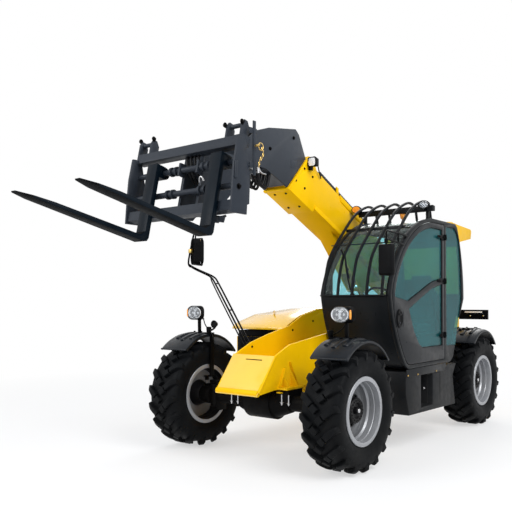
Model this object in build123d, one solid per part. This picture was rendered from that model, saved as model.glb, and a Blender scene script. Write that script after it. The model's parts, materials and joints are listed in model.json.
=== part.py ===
from build123d import *
import math
import os

# Telehandler with four steered wheels, a side cab, a two-section boom and pallet forks.
# Millimetres. While modelling, x = 0 is the front axle, +X forward, +Y the machine's left, z = 0 the ground.
# save() moves every piece so that the stored origin is on the ground at the middle of the overall length.

os.makedirs("parts", exist_ok=True)

# ---------------------------------------------------------------- driving dimensions
WHEELBASE = 3070
TRACK = 2030
TYRE_R = 575
TYRE_W = 400
RIM_R = 325
RIM_W = 350
BEAD_R = 300
HUB_R = 150
KINGPIN_Y = 720
PIN_CLEAR = 0.3
GAP = 6

FRAME_HALF = 250
FRAME_T = 25
FRAME_REAR_X = -4080
NOSE_TIP_X = 468
NOSE_TIP_Z = 698
NOSE_TOP_X = 196
NOSE_TOP_Z = 1055

CAB_IN_Y = 300
CAB_OUT_Y = 1150
CAB_WALL = 40
GLASS_T = 6
DOOR_REAR_X = -1915
DOOR_T = 40

PIVOT_X = -3700
PIVOT_Z = 1470
PIVOT_PIN_R = 45
BOOM_HALF = 165
BOOM_WALL = 12
BOOM_DEG = 24.5
INNER_HALF = 140
INNER_LEN = 2600
INNER_DEPTH = 330
INNER_X = -372
INNER_Z = 2975

TILT_X = 455
TILT_Z = 2930
TILT_PIN_R = 35
CARRIAGE_RIGHT = -720
CARRIAGE_LEFT = 650
FORK_DEG = 12
FORK_LEN = 1260
FORK_W = 130
FORK_T = 50
FORK_Y = 410

LIFT_BASE_X = -3150
LIFT_BASE_Z = 850
LIFT_EYE_X = -1850
LIFT_EYE_Z = 1800
LIFT_BARREL_R = 72
LIFT_ROD_R = 40
LIFT_PIN_R = 30
LIFT_FOOT_Z = 763
EAR_IN = 80
EAR_OUT = 105

TAIL_X = -4480
FORK_TIP_X = 2586
ORIGIN_X = (TAIL_X + FORK_TIP_X) / 2

REAR_X = -WHEELBASE
WHEEL_Y = TRACK / 2
AXLE_Z = TYRE_R


# ---------------------------------------------------------------- helpers
def save(name, shape):
    """Write one node, moved to the stored origin."""
    export_step(Pos(-ORIGIN_X, 0, 0) * shape, f"parts/{name}.step")


def box(x0, x1, y0, y1, z0, z1):
    """A block between two values along each axis."""
    return Pos((x0 + x1) / 2, (y0 + y1) / 2, (z0 + z1) / 2) * Box(abs(x1 - x0), abs(y1 - y0), abs(z1 - z0))


def rod(p, q, r):
    """A round bar from point p to point q."""
    start, end = Vector(*p), Vector(*q)
    way = end - start
    plane = Plane(origin=start, z_dir=way.normalized())
    return extrude(plane * Circle(r), way.length)


def cyl_y(x, z, r, y0, y1):
    """A cylinder along Y."""
    return rod((x, y0, z), (x, y1, z), r)


def side_face(points):
    """A flat outline in the X-Z plane, at y = 0."""
    line = Polyline(*[(x, 0, z) for x, z in points], close=True)
    return make_face(line)


def side_plate(points, y0, y1):
    """An X-Z outline as a plate between two values of y."""
    return slab(side_face(points), y0, y1)


def slab(face, y0, y1):
    """Any X-Z face as a plate between two values of y."""
    lo, hi = min(y0, y1), max(y0, y1)
    return extrude(Pos(0, lo, 0) * face, hi - lo, dir=(0, 1, 0))


def arc_xz(a, b, c):
    """An arc in the X-Z plane through three points."""
    return ThreePointArc((a[0], 0, a[1]), (b[0], 0, b[1]), (c[0], 0, c[1]))


def line_xz(a, b):
    """A straight edge in the X-Z plane."""
    return Line((a[0], 0, a[1]), (b[0], 0, b[1]))


def fuse(*shapes):
    """Join pieces that touch into one solid."""
    whole = shapes[0]
    for shape in shapes[1:]:
        whole = whole + shape
    return whole


def turned(shape, x, z, deg):
    """Turn a piece about a Y axis through (x, z); positive raises what lies in front."""
    return Pos(x, 0, z) * Rot(0, -deg, 0) * Pos(-x, 0, -z) * shape


# ---------------------------------------------------------------- wheels
def tyre_solid():
    """Carcass as a closed ring, bead to tread, about the Y axis at the origin."""
    half, bead = TYRE_W / 2, RIM_W / 2 - 12
    shoulder = TYRE_R - 60
    side = make_face(
        Polyline((bead, BEAD_R), (bead, RIM_R + 6), (half - 12, RIM_R + 50), (half, (BEAD_R + TYRE_R) / 2 + 10),
                 (half - 2, shoulder), (half - 30, TYRE_R - 12), (half - 60, TYRE_R), (-half + 60, TYRE_R),
                 (-half + 30, TYRE_R - 12), (-half + 2, shoulder), (-half, (BEAD_R + TYRE_R) / 2 + 10),
                 (-half + 12, RIM_R + 50), (-bead, RIM_R + 6), (-bead, BEAD_R), close=True)
    )
    return Rot(0, 0, 90) * revolve(side, Axis.X)


def rim_solid():
    """Drop-centre rim with a dished disc and the black hub drum, about Y; +Y is the outer side."""
    half = RIM_W / 2
    barrel = make_face(
        Polyline((-half, BEAD_R - 14), (-half, RIM_R), (-half + 10, RIM_R), (-half + 10, BEAD_R - 0.3),
                 (half - 10, BEAD_R - 0.3), (half - 10, RIM_R), (half, RIM_R), (half, BEAD_R - 14), close=True)
    )
    disc = make_face(Polyline((-30, 60), (-30, BEAD_R - 14), (-14, BEAD_R - 14), (-14, 60), close=True))
    hub = make_face(
        Polyline((-130, 0), (-130, 110), (-60, HUB_R), (30, HUB_R), (50, HUB_R - 30), (55, 60), (75, 50), (75, 0),
                 close=True)
    )
    ring = revolve(barrel, Axis.X) + revolve(disc, Axis.X) + revolve(hub, Axis.X)
    return Rot(0, 0, 90) * ring


WHEELS = [  # name, axle x, side (+1 left, -1 right)
    ("fl", 0, 1),
    ("fr", 0, -1),
    ("rl", REAR_X, 1),
    ("rr", REAR_X, -1),
]


def knuckle_solid():
    """Left knuckle at x = 0: hub carrier between the axle's ears, with its two kingpins."""
    post = Pos(0, KINGPIN_Y, AXLE_Z) * Cylinder(58, 2 * KNUCKLE_HALF_H)
    pins = Pos(0, KINGPIN_Y, AXLE_Z) * Cylinder(KINGPIN_R, 2 * EAR_TOP)
    carrier = cyl_y(0, AXLE_Z, 105, KINGPIN_Y + 20, WHEEL_Y - 136)
    saddle = box(-45, 45, KINGPIN_Y + 64, KINGPIN_Y + 130, AXLE_Z + 60, SADDLE_Z)
    arm = box(-190, -40, KINGPIN_Y + 20, KINGPIN_Y + 60, AXLE_Z - 30, AXLE_Z + 10)
    return fuse(post, pins, carrier, saddle, arm)


KINGPIN_R = 26
KNUCKLE_HALF_H = 120
EAR_LOW = KNUCKLE_HALF_H + GAP
EAR_TOP = EAR_LOW + 35
SADDLE_Z = AXLE_Z + 115

FENDER_T = 12
FENDER_HALF_W = 200
FENDER_TOP = AXLE_Z + TYRE_R + 85


def fender_solid():
    """Left fender at x = 0: an arched sheet over the tyre, with the strut that ties it to the knuckle."""
    front, rear, top = (360, AXLE_Z + 505), (-430, AXLE_Z + 455), (-20, FENDER_TOP)
    inner = arc_xz(front, top, rear)
    sheet = thicken_strip(inner, FENDER_T)
    shell = slab(sheet, WHEEL_Y - FENDER_HALF_W, WHEEL_Y + FENDER_HALF_W)
    strut_y = WHEEL_Y - FENDER_HALF_W - 6
    bar_z = FENDER_TOP + FENDER_T
    strut = box(-50, 10, strut_y - 12, strut_y, SADDLE_Z, bar_z + 12)
    foot = box(-40, 40, KINGPIN_Y + 68, strut_y, SADDLE_Z, SADDLE_Z + 20)
    bar = box(-50, 10, strut_y - 12, WHEEL_Y + 90, bar_z - 2, bar_z + 12)
    return fuse(shell, strut, foot, bar)


def thicken_strip(arc, thick):
    """A strip of even thickness outside an arc that bulges upward."""
    centre, radius = arc.arc_center, arc.radius
    ends = []
    for t in (0, 0.5, 1):
        p = arc.position_at(t)
        out = (p - centre).normalized() * (radius + thick) + centre
        ends.append((out.X, out.Z))
    p0, p1 = arc.position_at(0), arc.position_at(1)
    edge = Curve() + [arc, line_xz((p1.X, p1.Z), ends[2]), arc_xz(ends[2], ends[1], ends[0]),
                      line_xz(ends[0], (p0.X, p0.Z))]
    return make_face(edge)


LAMP_X, LAMP_Y, LAMP_Z = 50, 980, 1482


def headlamp_solid():
    """Left headlamp on its post over the front fender."""
    base_z = FENDER_TOP + FENDER_T + 12
    post = box(LAMP_X - 75, LAMP_X - 45, LAMP_Y - 15, LAMP_Y + 15, base_z, LAMP_Z - 60)
    cross = box(LAMP_X - 75, LAMP_X - 20, LAMP_Y - 60, LAMP_Y + 60, LAMP_Z - 75, LAMP_Z - 60)
    shell = Pos(LAMP_X - 5, LAMP_Y, LAMP_Z) * Box(90, 180, 125)
    shell = fillet(shell.edges().filter_by(Axis.X), 28)
    return fuse(post, cross, shell)


for name, axle_x, side in WHEELS:
    place = Pos(axle_x, 0, 0)
    hub = Pos(0, WHEEL_Y, AXLE_Z)
    corner = {
        "tyre": hub * tyre_solid(),
        "rim": hub * rim_solid(),
        "knuckle": knuckle_solid(),
        "fender": fender_solid(),
    }
    if axle_x == 0:
        corner["headlamp"] = headlamp_solid()
    for kind, shape in corner.items():
        shape = shape if side > 0 else mirror(shape, about=Plane.XZ)
        save(f"{kind}_{name}", place * shape)


# ---------------------------------------------------------------- axles
AXLE_TUBE_R = 80
DIFF_R = 180


def axle_solid():
    """Rigid drive axle at x = 0: gear case, tubes and the ears that hold the knuckles."""
    case = cyl_y(0, AXLE_Z, DIFF_R, -170, 170)
    cones = [
        Pos(0, s * 260, AXLE_Z) * Rot(-s * 90, 0, 0) * Cone(DIFF_R - 20, AXLE_TUBE_R + 15, 180) for s in (1, -1)
    ]
    tube = cyl_y(0, AXLE_Z, AXLE_TUBE_R, -KINGPIN_Y + 90, KINGPIN_Y - 90)
    nose = rod((0, 0, AXLE_Z), (-270, 0, AXLE_Z), 95)
    whole = fuse(case, *cones, tube, nose)
    for s in (1, -1):
        yoke = box(-65, 65, s * (KINGPIN_Y - 100), s * (KINGPIN_Y - 68), AXLE_Z - EAR_TOP, AXLE_Z + EAR_TOP)
        whole = whole + yoke
        for low in (EAR_LOW, -EAR_TOP):
            ear = box(-50, 50, s * (KINGPIN_Y - 70), s * (KINGPIN_Y + 45), AXLE_Z + low, AXLE_Z + low + 35)
            bore = Pos(0, s * KINGPIN_Y, AXLE_Z + low + 17) * Cylinder(KINGPIN_R + PIN_CLEAR, 60)
            whole = whole + (ear - bore)
    for s in (1, -1):
        whole = whole + box(-120, 120, s * (FRAME_HALF - 20), s * (FRAME_HALF + 130), AXLE_Z, PAD_Z)
    return whole


PAD_Z = 720
save("front_axle", axle_solid())
save("rear_axle", Pos(REAR_X, 0, 0) * Rot(0, 0, 180) * axle_solid())


# ---------------------------------------------------------------- chassis
BELLY_Z = 480
FRAME_IN, FRAME_OUT = FRAME_HALF, FRAME_HALF + FRAME_T

LOWER_EDGE = [
    (FRAME_REAR_X, 760), (-3650, PAD_Z), (-2700, PAD_Z), (-2350, BELLY_Z), (-700, BELLY_Z), (-400, PAD_Z),
    (220, PAD_Z), (430, PAD_Z - 24),
]
LEFT_UPPER_EDGE = [
    (NOSE_TIP_X - 4, NOSE_TIP_Z), (NOSE_TOP_X, NOSE_TOP_Z), (-50, 1162), (-739, 1255), (-3250, 1290), (-3480, 1720),
    (-3900, 1720), (FRAME_REAR_X, 1290),
]
RIGHT_UPPER_EDGE = [
    (NOSE_TIP_X - 4, NOSE_TIP_Z), (NOSE_TOP_X, NOSE_TOP_Z), (-65, 1169), (-363, 1246), (-1420, 1469), (-3250, 1500),
    (-3480, 1720), (-3900, 1720), (FRAME_REAR_X, 1290),
]


def chassis_solid():
    """Two long side plates joined by the belly plate, cross plates and axle flanges."""
    left = side_plate(LOWER_EDGE + LEFT_UPPER_EDGE, FRAME_IN, FRAME_OUT)
    right = side_plate(LOWER_EDGE + RIGHT_UPPER_EDGE, -FRAME_OUT, -FRAME_IN)
    belly = box(-2350, -700, -FRAME_IN - 5, FRAME_IN + 5, BELLY_Z + 20, BELLY_Z + 35)
    shelf = box(-700, 390, -FRAME_IN - 5, FRAME_IN + 5, 770, 785)
    rear_wall = box(FRAME_REAR_X, FRAME_REAR_X + 25, -FRAME_IN - 5, FRAME_IN + 5, 775, 1250)
    mid_wall = box(-2380, -2360, -FRAME_IN - 5, FRAME_IN + 5, 515, 760)
    front_wall = box(-720, -700, -FRAME_IN - 5, FRAME_IN + 5, 515, 785)
    whole = fuse(left, right, belly, shelf, rear_wall, mid_wall, front_wall)
    for x in (0, REAR_X):
        for s in (1, -1):
            whole = whole + box(x - 150, x + 150, s * (FRAME_IN + 5), s * (FRAME_OUT + 110), PAD_Z, PAD_Z + 22)
            for dx in (-70, 70):
                whole = whole + side_gusset(x + dx, s)
    for s in (1, -1):
        boss = cyl_y(PIVOT_X, PIVOT_Z, 110, s * (FRAME_OUT - 5), s * (FRAME_OUT + 35))
        whole = whole + boss
        foot = side_plate(
            [(LIFT_BASE_X - 130, LIFT_FOOT_Z), (LIFT_BASE_X + 130, LIFT_FOOT_Z), (LIFT_BASE_X + 60, LIFT_BASE_Z + 65),
             (LIFT_BASE_X - 60, LIFT_BASE_Z + 65)], s * EAR_IN, s * EAR_OUT)
        whole = whole + foot
    lift_floor = box(LIFT_BASE_X - 140, LIFT_BASE_X + 140, -FRAME_IN - 5, FRAME_IN + 5, LIFT_FOOT_Z - 5, LIFT_FOOT_Z + 12)
    whole = whole + lift_floor
    whole = whole - cyl_y(PIVOT_X, PIVOT_Z, PIVOT_PIN_R, -400, 400)
    whole = whole - cyl_y(LIFT_BASE_X, LIFT_BASE_Z, LIFT_PIN_R, -EAR_OUT - 5, EAR_OUT + 5)
    return whole


def side_gusset(x, s):
    """Upright rib that stiffens an axle flange against the side plate."""
    rib = Polyline((x, s * (FRAME_OUT - 2), PAD_Z + 20), (x, s * (FRAME_OUT + 90), PAD_Z + 20),
                   (x, s * (FRAME_OUT - 2), PAD_Z + 190), close=True)
    return extrude(make_face(rib), 14, dir=(1, 0, 0))


save("chassis_frame", chassis_solid())


# sloping front plate with a folded lower lip
save("nose_plate", side_plate(
    [(NOSE_TIP_X - 4, NOSE_TIP_Z - 18), (NOSE_TIP_X + 14, NOSE_TIP_Z - 14), (NOSE_TIP_X + 14, NOSE_TIP_Z + 2),
     (NOSE_TOP_X + 14, NOSE_TOP_Z + 9), (NOSE_TOP_X, NOSE_TOP_Z), (NOSE_TIP_X - 4, NOSE_TIP_Z)],
    -FRAME_OUT, FRAME_OUT))

# pivot pin, held in the side plates
pivot = cyl_y(PIVOT_X, PIVOT_Z, PIVOT_PIN_R - PIN_CLEAR, -FRAME_OUT - 45, FRAME_OUT + 45)
save("boom_pivot_pin", pivot)

# rear tower: side covers outside the pivot plates, closed at the back and over the top
TOWER_IN, TOWER_OUT = 480, 500
TOWER_BACK = [(-4010, 2510), (-3975, 1620)]
TAIL = [(-3900, 2765), (TAIL_X + 30, 2738), (TAIL_X, 2708), (TAIL_X + 30, 2590), (-4010, 2510)]
TOWER_SIDE = [(-3330, 1000), (-3330, 1500), (-3560, 2300), (-3560, 2770), (-3700, 2781)] + TAIL + [
    (-3975, 1620), (-3960, 1000)]


def tower_solid():
    """Side covers with the back, the hollow tail and the feet that stand on the side plates."""
    half = TOWER_IN + 5
    whole = side_plate(TOWER_SIDE, TOWER_IN, TOWER_OUT) + side_plate(TOWER_SIDE, -TOWER_OUT, -TOWER_IN)
    whole = whole + side_plate(TOWER_BACK + [(-3955, 1620), (-3990, 2510)], -half, half)
    tail_skin = TAIL + [(-3990, 2510), (-3990, 2526), (TAIL_X + 39, 2605), (TAIL_X + 16, 2705), (TAIL_X + 36, 2722),
                        (-3900, 2749)]
    whole = whole + side_plate(tail_skin, -half, half)
    for s in (1, -1):
        whole = whole + box(-4000, -3400, s * FRAME_OUT, s * half, 1050, 1070)
    return whole


save("rear_tower", tower_solid())

# counterweight under the tower, behind the rear wheels
counterweight = side_plate(
    [(FRAME_REAR_X, 700), (-4330, 740), (-4380, 900), (-4340, 1080), (FRAME_REAR_X, 1120)], -450, 450)
save("counterweight", counterweight)

# bar across the tail that carries the rear lamps, on two posts
lamp_bar = box(-4240, -4200, -850, 850, 1345, 1490)
for s in (1, -1):
    lamp_bar = lamp_bar + box(-4201, -4160, s * 300 - 20, s * 300 + 20, 1080, 1400)
save("rear_lamp_bar", lamp_bar - counterweight)

# engine, one plain block inside the right-hand bay
save("engine_block", box(-2150, -1150, -900, -340, 640, 1240))


# ---------------------------------------------------------------- right-hand engine bay and its hood
BAY_REAR_X = -2270
BAY_OUT_Y = -1100
HOOD_SPLIT_Z = 1180
HOOD_HINGE_Z = 1545
HOOD_FRONT_X = -700
SHEET_T = 12


def bay_solid():
    """Open-topped bay that stands out from the right plate; its lower front corner clears the steered tyre."""
    low_x, high_x = -900, -780
    side = [(BAY_REAR_X, 560), (low_x, 560), (low_x, 860), (high_x, 960), (high_x, HOOD_SPLIT_Z),
            (BAY_REAR_X, HOOD_SPLIT_Z)]
    t = SHEET_T
    room = [(BAY_REAR_X + t, 575), (low_x - t, 575), (low_x - t, 865), (high_x - t, 965), (high_x - t, HOOD_SPLIT_Z + 1),
            (BAY_REAR_X + t, HOOD_SPLIT_Z + 1)]
    whole = side_plate(side, BAY_OUT_Y, -FRAME_OUT) - side_plate(room, BAY_OUT_Y + t, -FRAME_OUT + 1)
    for x in (-2000, -1300):
        whole = whole + box(x - 40, x + 40, -880, -360, 574, 640)
    return whole


save("engine_bay", bay_solid())


def hood_solid():
    """Lid over the bay: highest at the rear and along its hinge, falling to the front and to the outer skirt."""
    inner_y, outer_y = -FRAME_OUT - 12, BAY_OUT_Y - 4
    z0 = HOOD_SPLIT_Z + GAP
    x0, x1 = BAY_REAR_X + 2, HOOD_FRONT_X

    def form(t, low, inner):
        across = Polyline((x0, inner, low), (x0, inner, HOOD_HINGE_Z - t), (x0, -640, HOOD_HINGE_Z - 15 - t),
                          (x0, -1000, 1450 - t), (x0, outer_y + t, 1345 - t), (x0, outer_y + t, low), close=True)
        along = side_face([(x0 + t, low), (x0 + t, HOOD_HINGE_Z - t), (-1350, 1520 - t), (-1000, 1445 - t),
                           (x1 - 50, 1335 - t), (x1 - t, 1300 - t), (x1 - t, low)])
        return extrude(make_face(across), x1 - x0, dir=(1, 0, 0)) & slab(along, outer_y - 1, inner + 1)

    return form(0, z0, inner_y) - form(SHEET_T, z0 - 1, inner_y + 2)


save("engine_hood", hood_solid())

# ---------------------------------------------------------------- tank and step box under the cab
BOX_OUT_Y = 1150
CAB_FLOOR_Z = 885
BOX_SIDE = [(-918, 860), (-917, 627), (-992, 391), (-2239, 367), (-2164, 720), (-2270, 860)]


def step_box_solid():
    """Tank and step in one box, with the recess that a foot goes into and four pads under the cab."""
    whole = side_plate(BOX_SIDE, FRAME_OUT, BOX_OUT_Y)
    whole = whole - box(-1590, -1290, BOX_OUT_Y - 260, BOX_OUT_Y + 10, 440, 800)
    for x in (-1900, -1150):
        for y in (420, 980):
            whole = whole + box(x - 50, x + 50, y - 50, y + 50, 860, CAB_FLOOR_Z)
    return whole


save("step_box", step_box_solid())


# ---------------------------------------------------------------- cab
A_FOOT = (-940, CAB_FLOOR_Z)
FOOT_CORNER_R = 180
A_KNEE = (-569, 1691)
ROOF_Z = 2560
ROOF_FRONT = (-1573, ROOF_Z)
ROOF_REAR = (-2270, ROOF_Z)
REAR_TOP = (-2330, 2520)
REAR_WAIST = (-2522, 1641)
REAR_FOOT = (-2170, CAB_FLOOR_Z)


def cab_outline():
    """Side view of the cab, all round."""
    edge = Curve() + [
        line_xz(REAR_FOOT, A_FOOT),
        arc_xz(A_FOOT, (-690, 1275), A_KNEE),
        arc_xz(A_KNEE, (-907, 2256), ROOF_FRONT),
        line_xz(ROOF_FRONT, ROOF_REAR),
        line_xz(ROOF_REAR, REAR_TOP),
        arc_xz(REAR_TOP, (-2480, 2080), REAR_WAIST),
        line_xz(REAR_WAIST, (-2298, 1259)),
        line_xz((-2298, 1259), REAR_FOOT),
    ]
    face = make_face(edge)
    return fillet(face.vertices().sort_by(Axis.Z)[:2], FOOT_CORNER_R)


OUTLINE = cab_outline()


def shrink(face, by):
    return offset(face, amount=-by, kind=Kind.INTERSECTION)


def zone(x0, x1, z0, z1):
    """A rectangle in the X-Z plane."""
    return side_face([(x0, z0), (x1, z0), (x1, z1), (x0, z1)])


INNER = shrink(OUTLINE, CAB_WALL)
SKIN = OUTLINE - INNER

# side frame: the outer side of the cab, with the door opening and the rear quarter window cut
POST_X = DOOR_REAR_X - GAP
DOOR_HOLE = shrink(OUTLINE, 45) & zone(POST_X, 0, 0, 4000)
QUARTER = [(-1985, 2500), (-2230, 2505), (-2335, 2440), (-2400, 2300), (-2432, 2098), (-2462, 1645), (-2280, 1085),
           (-1985, 1085)]
side_frame = slab(OUTLINE - DOOR_HOLE - side_face(QUARTER), CAB_OUT_Y - DOOR_T - 4, CAB_OUT_Y)
save("cab_side_frame", side_frame)

# inner wall beside the boom, with its long window
inner_window = shrink(OUTLINE, 110) & zone(-2290, -760, 1300, 2420)
save("cab_inner_wall", slab(OUTLINE - inner_window, CAB_IN_Y, CAB_IN_Y + CAB_WALL))

SPAN0, SPAN1 = CAB_IN_Y + CAB_WALL, CAB_OUT_Y - DOOR_T - 4


def skin_piece(x0, x1, z0, z1):
    """The part of the cab's skin that lies inside a window of the side view."""
    return slab(SKIN & zone(x0, x1, z0, z1), SPAN0, SPAN1)


save("cab_floor", skin_piece(-2095, -1025, 800, CAB_FLOOR_Z + CAB_WALL))
FRONT_PANEL_TOP = 1660
save("cab_front_panel", skin_piece(-1024, -400, 800, FRONT_PANEL_TOP))
ROOF_FRONT_X = -1950
save("cab_roof", skin_piece(-2400, ROOF_FRONT_X, 2380, 2700))
save("cab_rear_panel", slab((SKIN & zone(-2600, -2096, 800, 1700)) + (SKIN & zone(-2600, -2096, 2300, 2379)),
                            SPAN0, SPAN1))

# glass: windscreen, rear, inner side and quarter panes
PANE = shrink(OUTLINE, 14) - shrink(OUTLINE, 14 + GLASS_T)
windscreen = slab(PANE & zone(ROOF_FRONT_X + PIN_CLEAR, -400, FRONT_PANEL_TOP + PIN_CLEAR, 2600), SPAN0, SPAN1)
rear_pane = slab(PANE & zone(-2600, -2300, 1700 + PIN_CLEAR, 2300 - PIN_CLEAR), SPAN0, SPAN1)
side_pane = slab(inner_window, CAB_IN_Y + 17, CAB_IN_Y + 17 + GLASS_T)
quarter_pane = side_plate(QUARTER, CAB_OUT_Y - 22, CAB_OUT_Y - 22 + GLASS_T)
save("cab_glass", Compound([*windscreen.solids(), *rear_pane.solids(), *side_pane.solids(), *quarter_pane.solids()]))

# door: panel with two cut windows, handle and hinge knuckles; its own body
DOOR_FACE = shrink(OUTLINE, 45 + GAP) & zone(DOOR_REAR_X, 0, 0, 4000)
PANE_REAR_X = DOOR_REAR_X + 50
LOWER_PANE = [(-995, 1531), (-1577, 1761), (PANE_REAR_X, 1815), (PANE_REAR_X, 1095), (-1330, 1095), (-1240, 1140),
              (-1112, 1290)]
upper_pane = (shrink(OUTLINE, 45 + GAP + 55) & zone(PANE_REAR_X, 0, 0, 4000)) & side_face(
    [(-300, 1700), (-990, 1610), (-1577, 1825), (PANE_REAR_X, 1880), (PANE_REAR_X, 2700), (-300, 2700)])
door_panel = slab(DOOR_FACE - side_face(LOWER_PANE) - upper_pane, CAB_OUT_Y - DOOR_T, CAB_OUT_Y)
handle = box(-905, -850, CAB_OUT_Y - 1, CAB_OUT_Y + 14, 1340, 1500)
door = fuse(door_panel, handle)
save("door_panel", door)
door_low = slab(side_face(LOWER_PANE), CAB_OUT_Y - 22, CAB_OUT_Y - 22 + GLASS_T)
door_up = slab(upper_pane, CAB_OUT_Y - 22, CAB_OUT_Y - 22 + GLASS_T)
save("door_glass", Compound([*door_low.solids(), *door_up.solids()]))

# guard bars over windscreen and roof
BAR_COUNT = 5
BAR_T = 30
BAR_LINE = [(-517, 1670), (-540, 1825), (-572, 1938), (-622, 2080), (-765, 2250), (-935, 2415), (-1105, 2575),
            (-1265, 2680), (-1416, 2742), (-1511, 2765), (-1620, 2755), (-1700, 2690), (-1740, 2540)]
BEAM_X = -1505
BEAM_Z = 2625


def ribbon(line, thick):
    """A strip of even thickness on the inner side of a bent line in the side view."""
    inner = []
    for i, (x, z) in enumerate(line):
        x0, z0 = line[max(i - 1, 0)]
        x1, z1 = line[min(i + 1, len(line) - 1)]
        run = math.dist((x0, z0), (x1, z1))
        inner = inner + [(x - (z1 - z0) / run * thick, z + (x1 - x0) / run * thick)]
    return side_face(line + inner[::-1])


def guard_solid():
    """Bent bars that stand off the windscreen, tied by a sill rail and by a beam that stands on the roof."""
    strip = (ribbon(BAR_LINE, BAR_T) & zone(-1800, -300, FRONT_PANEL_TOP + 10, 2800)) - OUTLINE
    whole = fuse(box(-578, -500, SPAN0, SPAN1, FRONT_PANEL_TOP, FRONT_PANEL_TOP + 16),
                 box(BEAM_X - 35, BEAM_X + 35, CAB_IN_Y - 50, CAB_OUT_Y + 60, BEAM_Z, BEAM_Z + 70))
    for i in range(BAR_COUNT):
        y = SPAN0 + 30 + i * (SPAN1 - SPAN0 - 60) / (BAR_COUNT - 1)
        whole = whole + slab(strip, y - 15, y + 15)
        whole = whole + box(BEAM_X - 15, BEAM_X + 15, y - 10, y + 10, BEAM_Z + 65, 2745)
    foot = zone(BEAM_X - 30, BEAM_X + 10, 2400, BEAM_Z + 5) - OUTLINE
    for y in (CAB_IN_Y + 5, CAB_OUT_Y - 35):
        whole = whole + slab(foot, y, y + 30)
    return whole


save("guard_bars", guard_solid())

# seat, console and steering wheel
SEAT_X, SEAT_Y = -1850, 725
PAN_Z = 1230
BACK_LEAN = -6
back_plate = turned(box(SEAT_X - 350, SEAT_X - 330.3, SEAT_Y - 200, SEAT_Y + 200, PAN_Z - 30, 1880),
                    SEAT_X - 270, PAN_Z, BACK_LEAN)
pedestal = box(SEAT_X - 200, SEAT_X + 200, SEAT_Y - 180, SEAT_Y + 180, CAB_FLOOR_Z + CAB_WALL, PAN_Z - 50)
pan = box(SEAT_X - 352, SEAT_X + 240, SEAT_Y - 240, SEAT_Y + 240, PAN_Z - 50, PAN_Z)
save("seat_base", fuse(pedestal, pan, back_plate))
cushion_block = box(SEAT_X - 200, SEAT_X + 250, SEAT_Y - 240, SEAT_Y + 240, PAN_Z + PIN_CLEAR, 1340)
seat_cushion = fillet(cushion_block.edges(), 25)
seat_back = turned(fillet(box(SEAT_X - 330, SEAT_X - 230, SEAT_Y - 230, SEAT_Y + 230, 1360, 1950).edges(), 25),
                   SEAT_X - 270, PAN_Z, BACK_LEAN)
save("seat_pads", Compound([*seat_cushion.solids(), *seat_back.solids()]))
console = fuse(box(-1050, -810, SPAN0 + 60, SPAN1 - 60, 1300, 1480),
               side_plate([(-1220, CAB_FLOOR_Z + CAB_WALL), (-1120, CAB_FLOOR_Z + CAB_WALL), (-900, 1310),
                           (-1010, 1310)], SEAT_Y - 90, SEAT_Y + 90),
               rod((-960, SEAT_Y, 1450), (-1158, SEAT_Y, 1617), 28))
save("console", console)
wheel_ring = Plane(origin=(-1165, SEAT_Y, 1622), z_dir=(-190, 0, 160)).location * (
    Torus(180, 14) + Box(340, 30, 14) + Cylinder(40, 26))
save("steering_wheel", wheel_ring - console)

# mirrors
CAB_BLOCK = slab(OUTLINE, CAB_IN_Y, CAB_OUT_Y)
MIRROR_X, MIRROR_Y = -400, CAB_OUT_Y + 50
left_mirror = fuse(
    rod((-1000, CAB_OUT_Y - 25, 2296), (MIRROR_X - 40, MIRROR_Y - 15, 2310), 10),
    rod((MIRROR_X - 40, MIRROR_Y - 15, 2310), (MIRROR_X, MIRROR_Y, 2290), 10),
    rod((-920, CAB_OUT_Y - 25, 2200), (MIRROR_X, MIRROR_Y, 2225), 10),
    rod((MIRROR_X, MIRROR_Y, 2300), (MIRROR_X, MIRROR_Y, 2170), 10),
    box(MIRROR_X - 20, MIRROR_X + 20, MIRROR_Y - 88, MIRROR_Y + 88, 1865, 2180))
save("left_mirror", left_mirror - CAB_BLOCK)

ARM_FOOT = (-130, -FRAME_OUT - 25, 1050)
ARM_KNEE = (-319, -1050, 1887)
ARM_TIP = (8, -1150, 2028)
GLASS_AT = (-115, -1150, 2215)
mirror_plate = Pos(*GLASS_AT) * Rot(0, 0, -45) * Box(30, 170, 270)
right_mirror = fuse(
    rod(ARM_FOOT, ARM_KNEE, 16), rod(ARM_KNEE, ARM_TIP, 16),
    rod(ARM_TIP, (GLASS_AT[0], GLASS_AT[1], 2100), 10), mirror_plate,
    box(-190, -70, -FRAME_OUT - 60, -FRAME_OUT, 1000, 1080))
save("right_mirror", right_mirror)

# roof lamps in front of the two ends of the roof beam
ROOF_LAMPS = [(-1400, CAB_IN_Y - 40, 2717), (-1400, CAB_OUT_Y - 11, 2692)]  # x, y, z of each lamp
lamps = []
for x, y, z in ROOF_LAMPS:
    bracket = box(BEAM_X + 35, x - 20, y - 12, y + 12, BEAM_Z + 25, BEAM_Z + 55)
    lamp = fuse(rod((x - 40, y, z), (x + 25, y, z), 44), bracket)
    lamps = lamps + lamp.solids()
save("roof_lamps", Compound(lamps))


# ---------------------------------------------------------------- boom
BASE_SIDE = [(-3860, 1620), (-700, 3072), (-650, 3162), (-539, 3213), (-160, 2808), (-610, 2606), (-650, 2632),
             (-3560, 1320), (-3860, 1300)]


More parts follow.
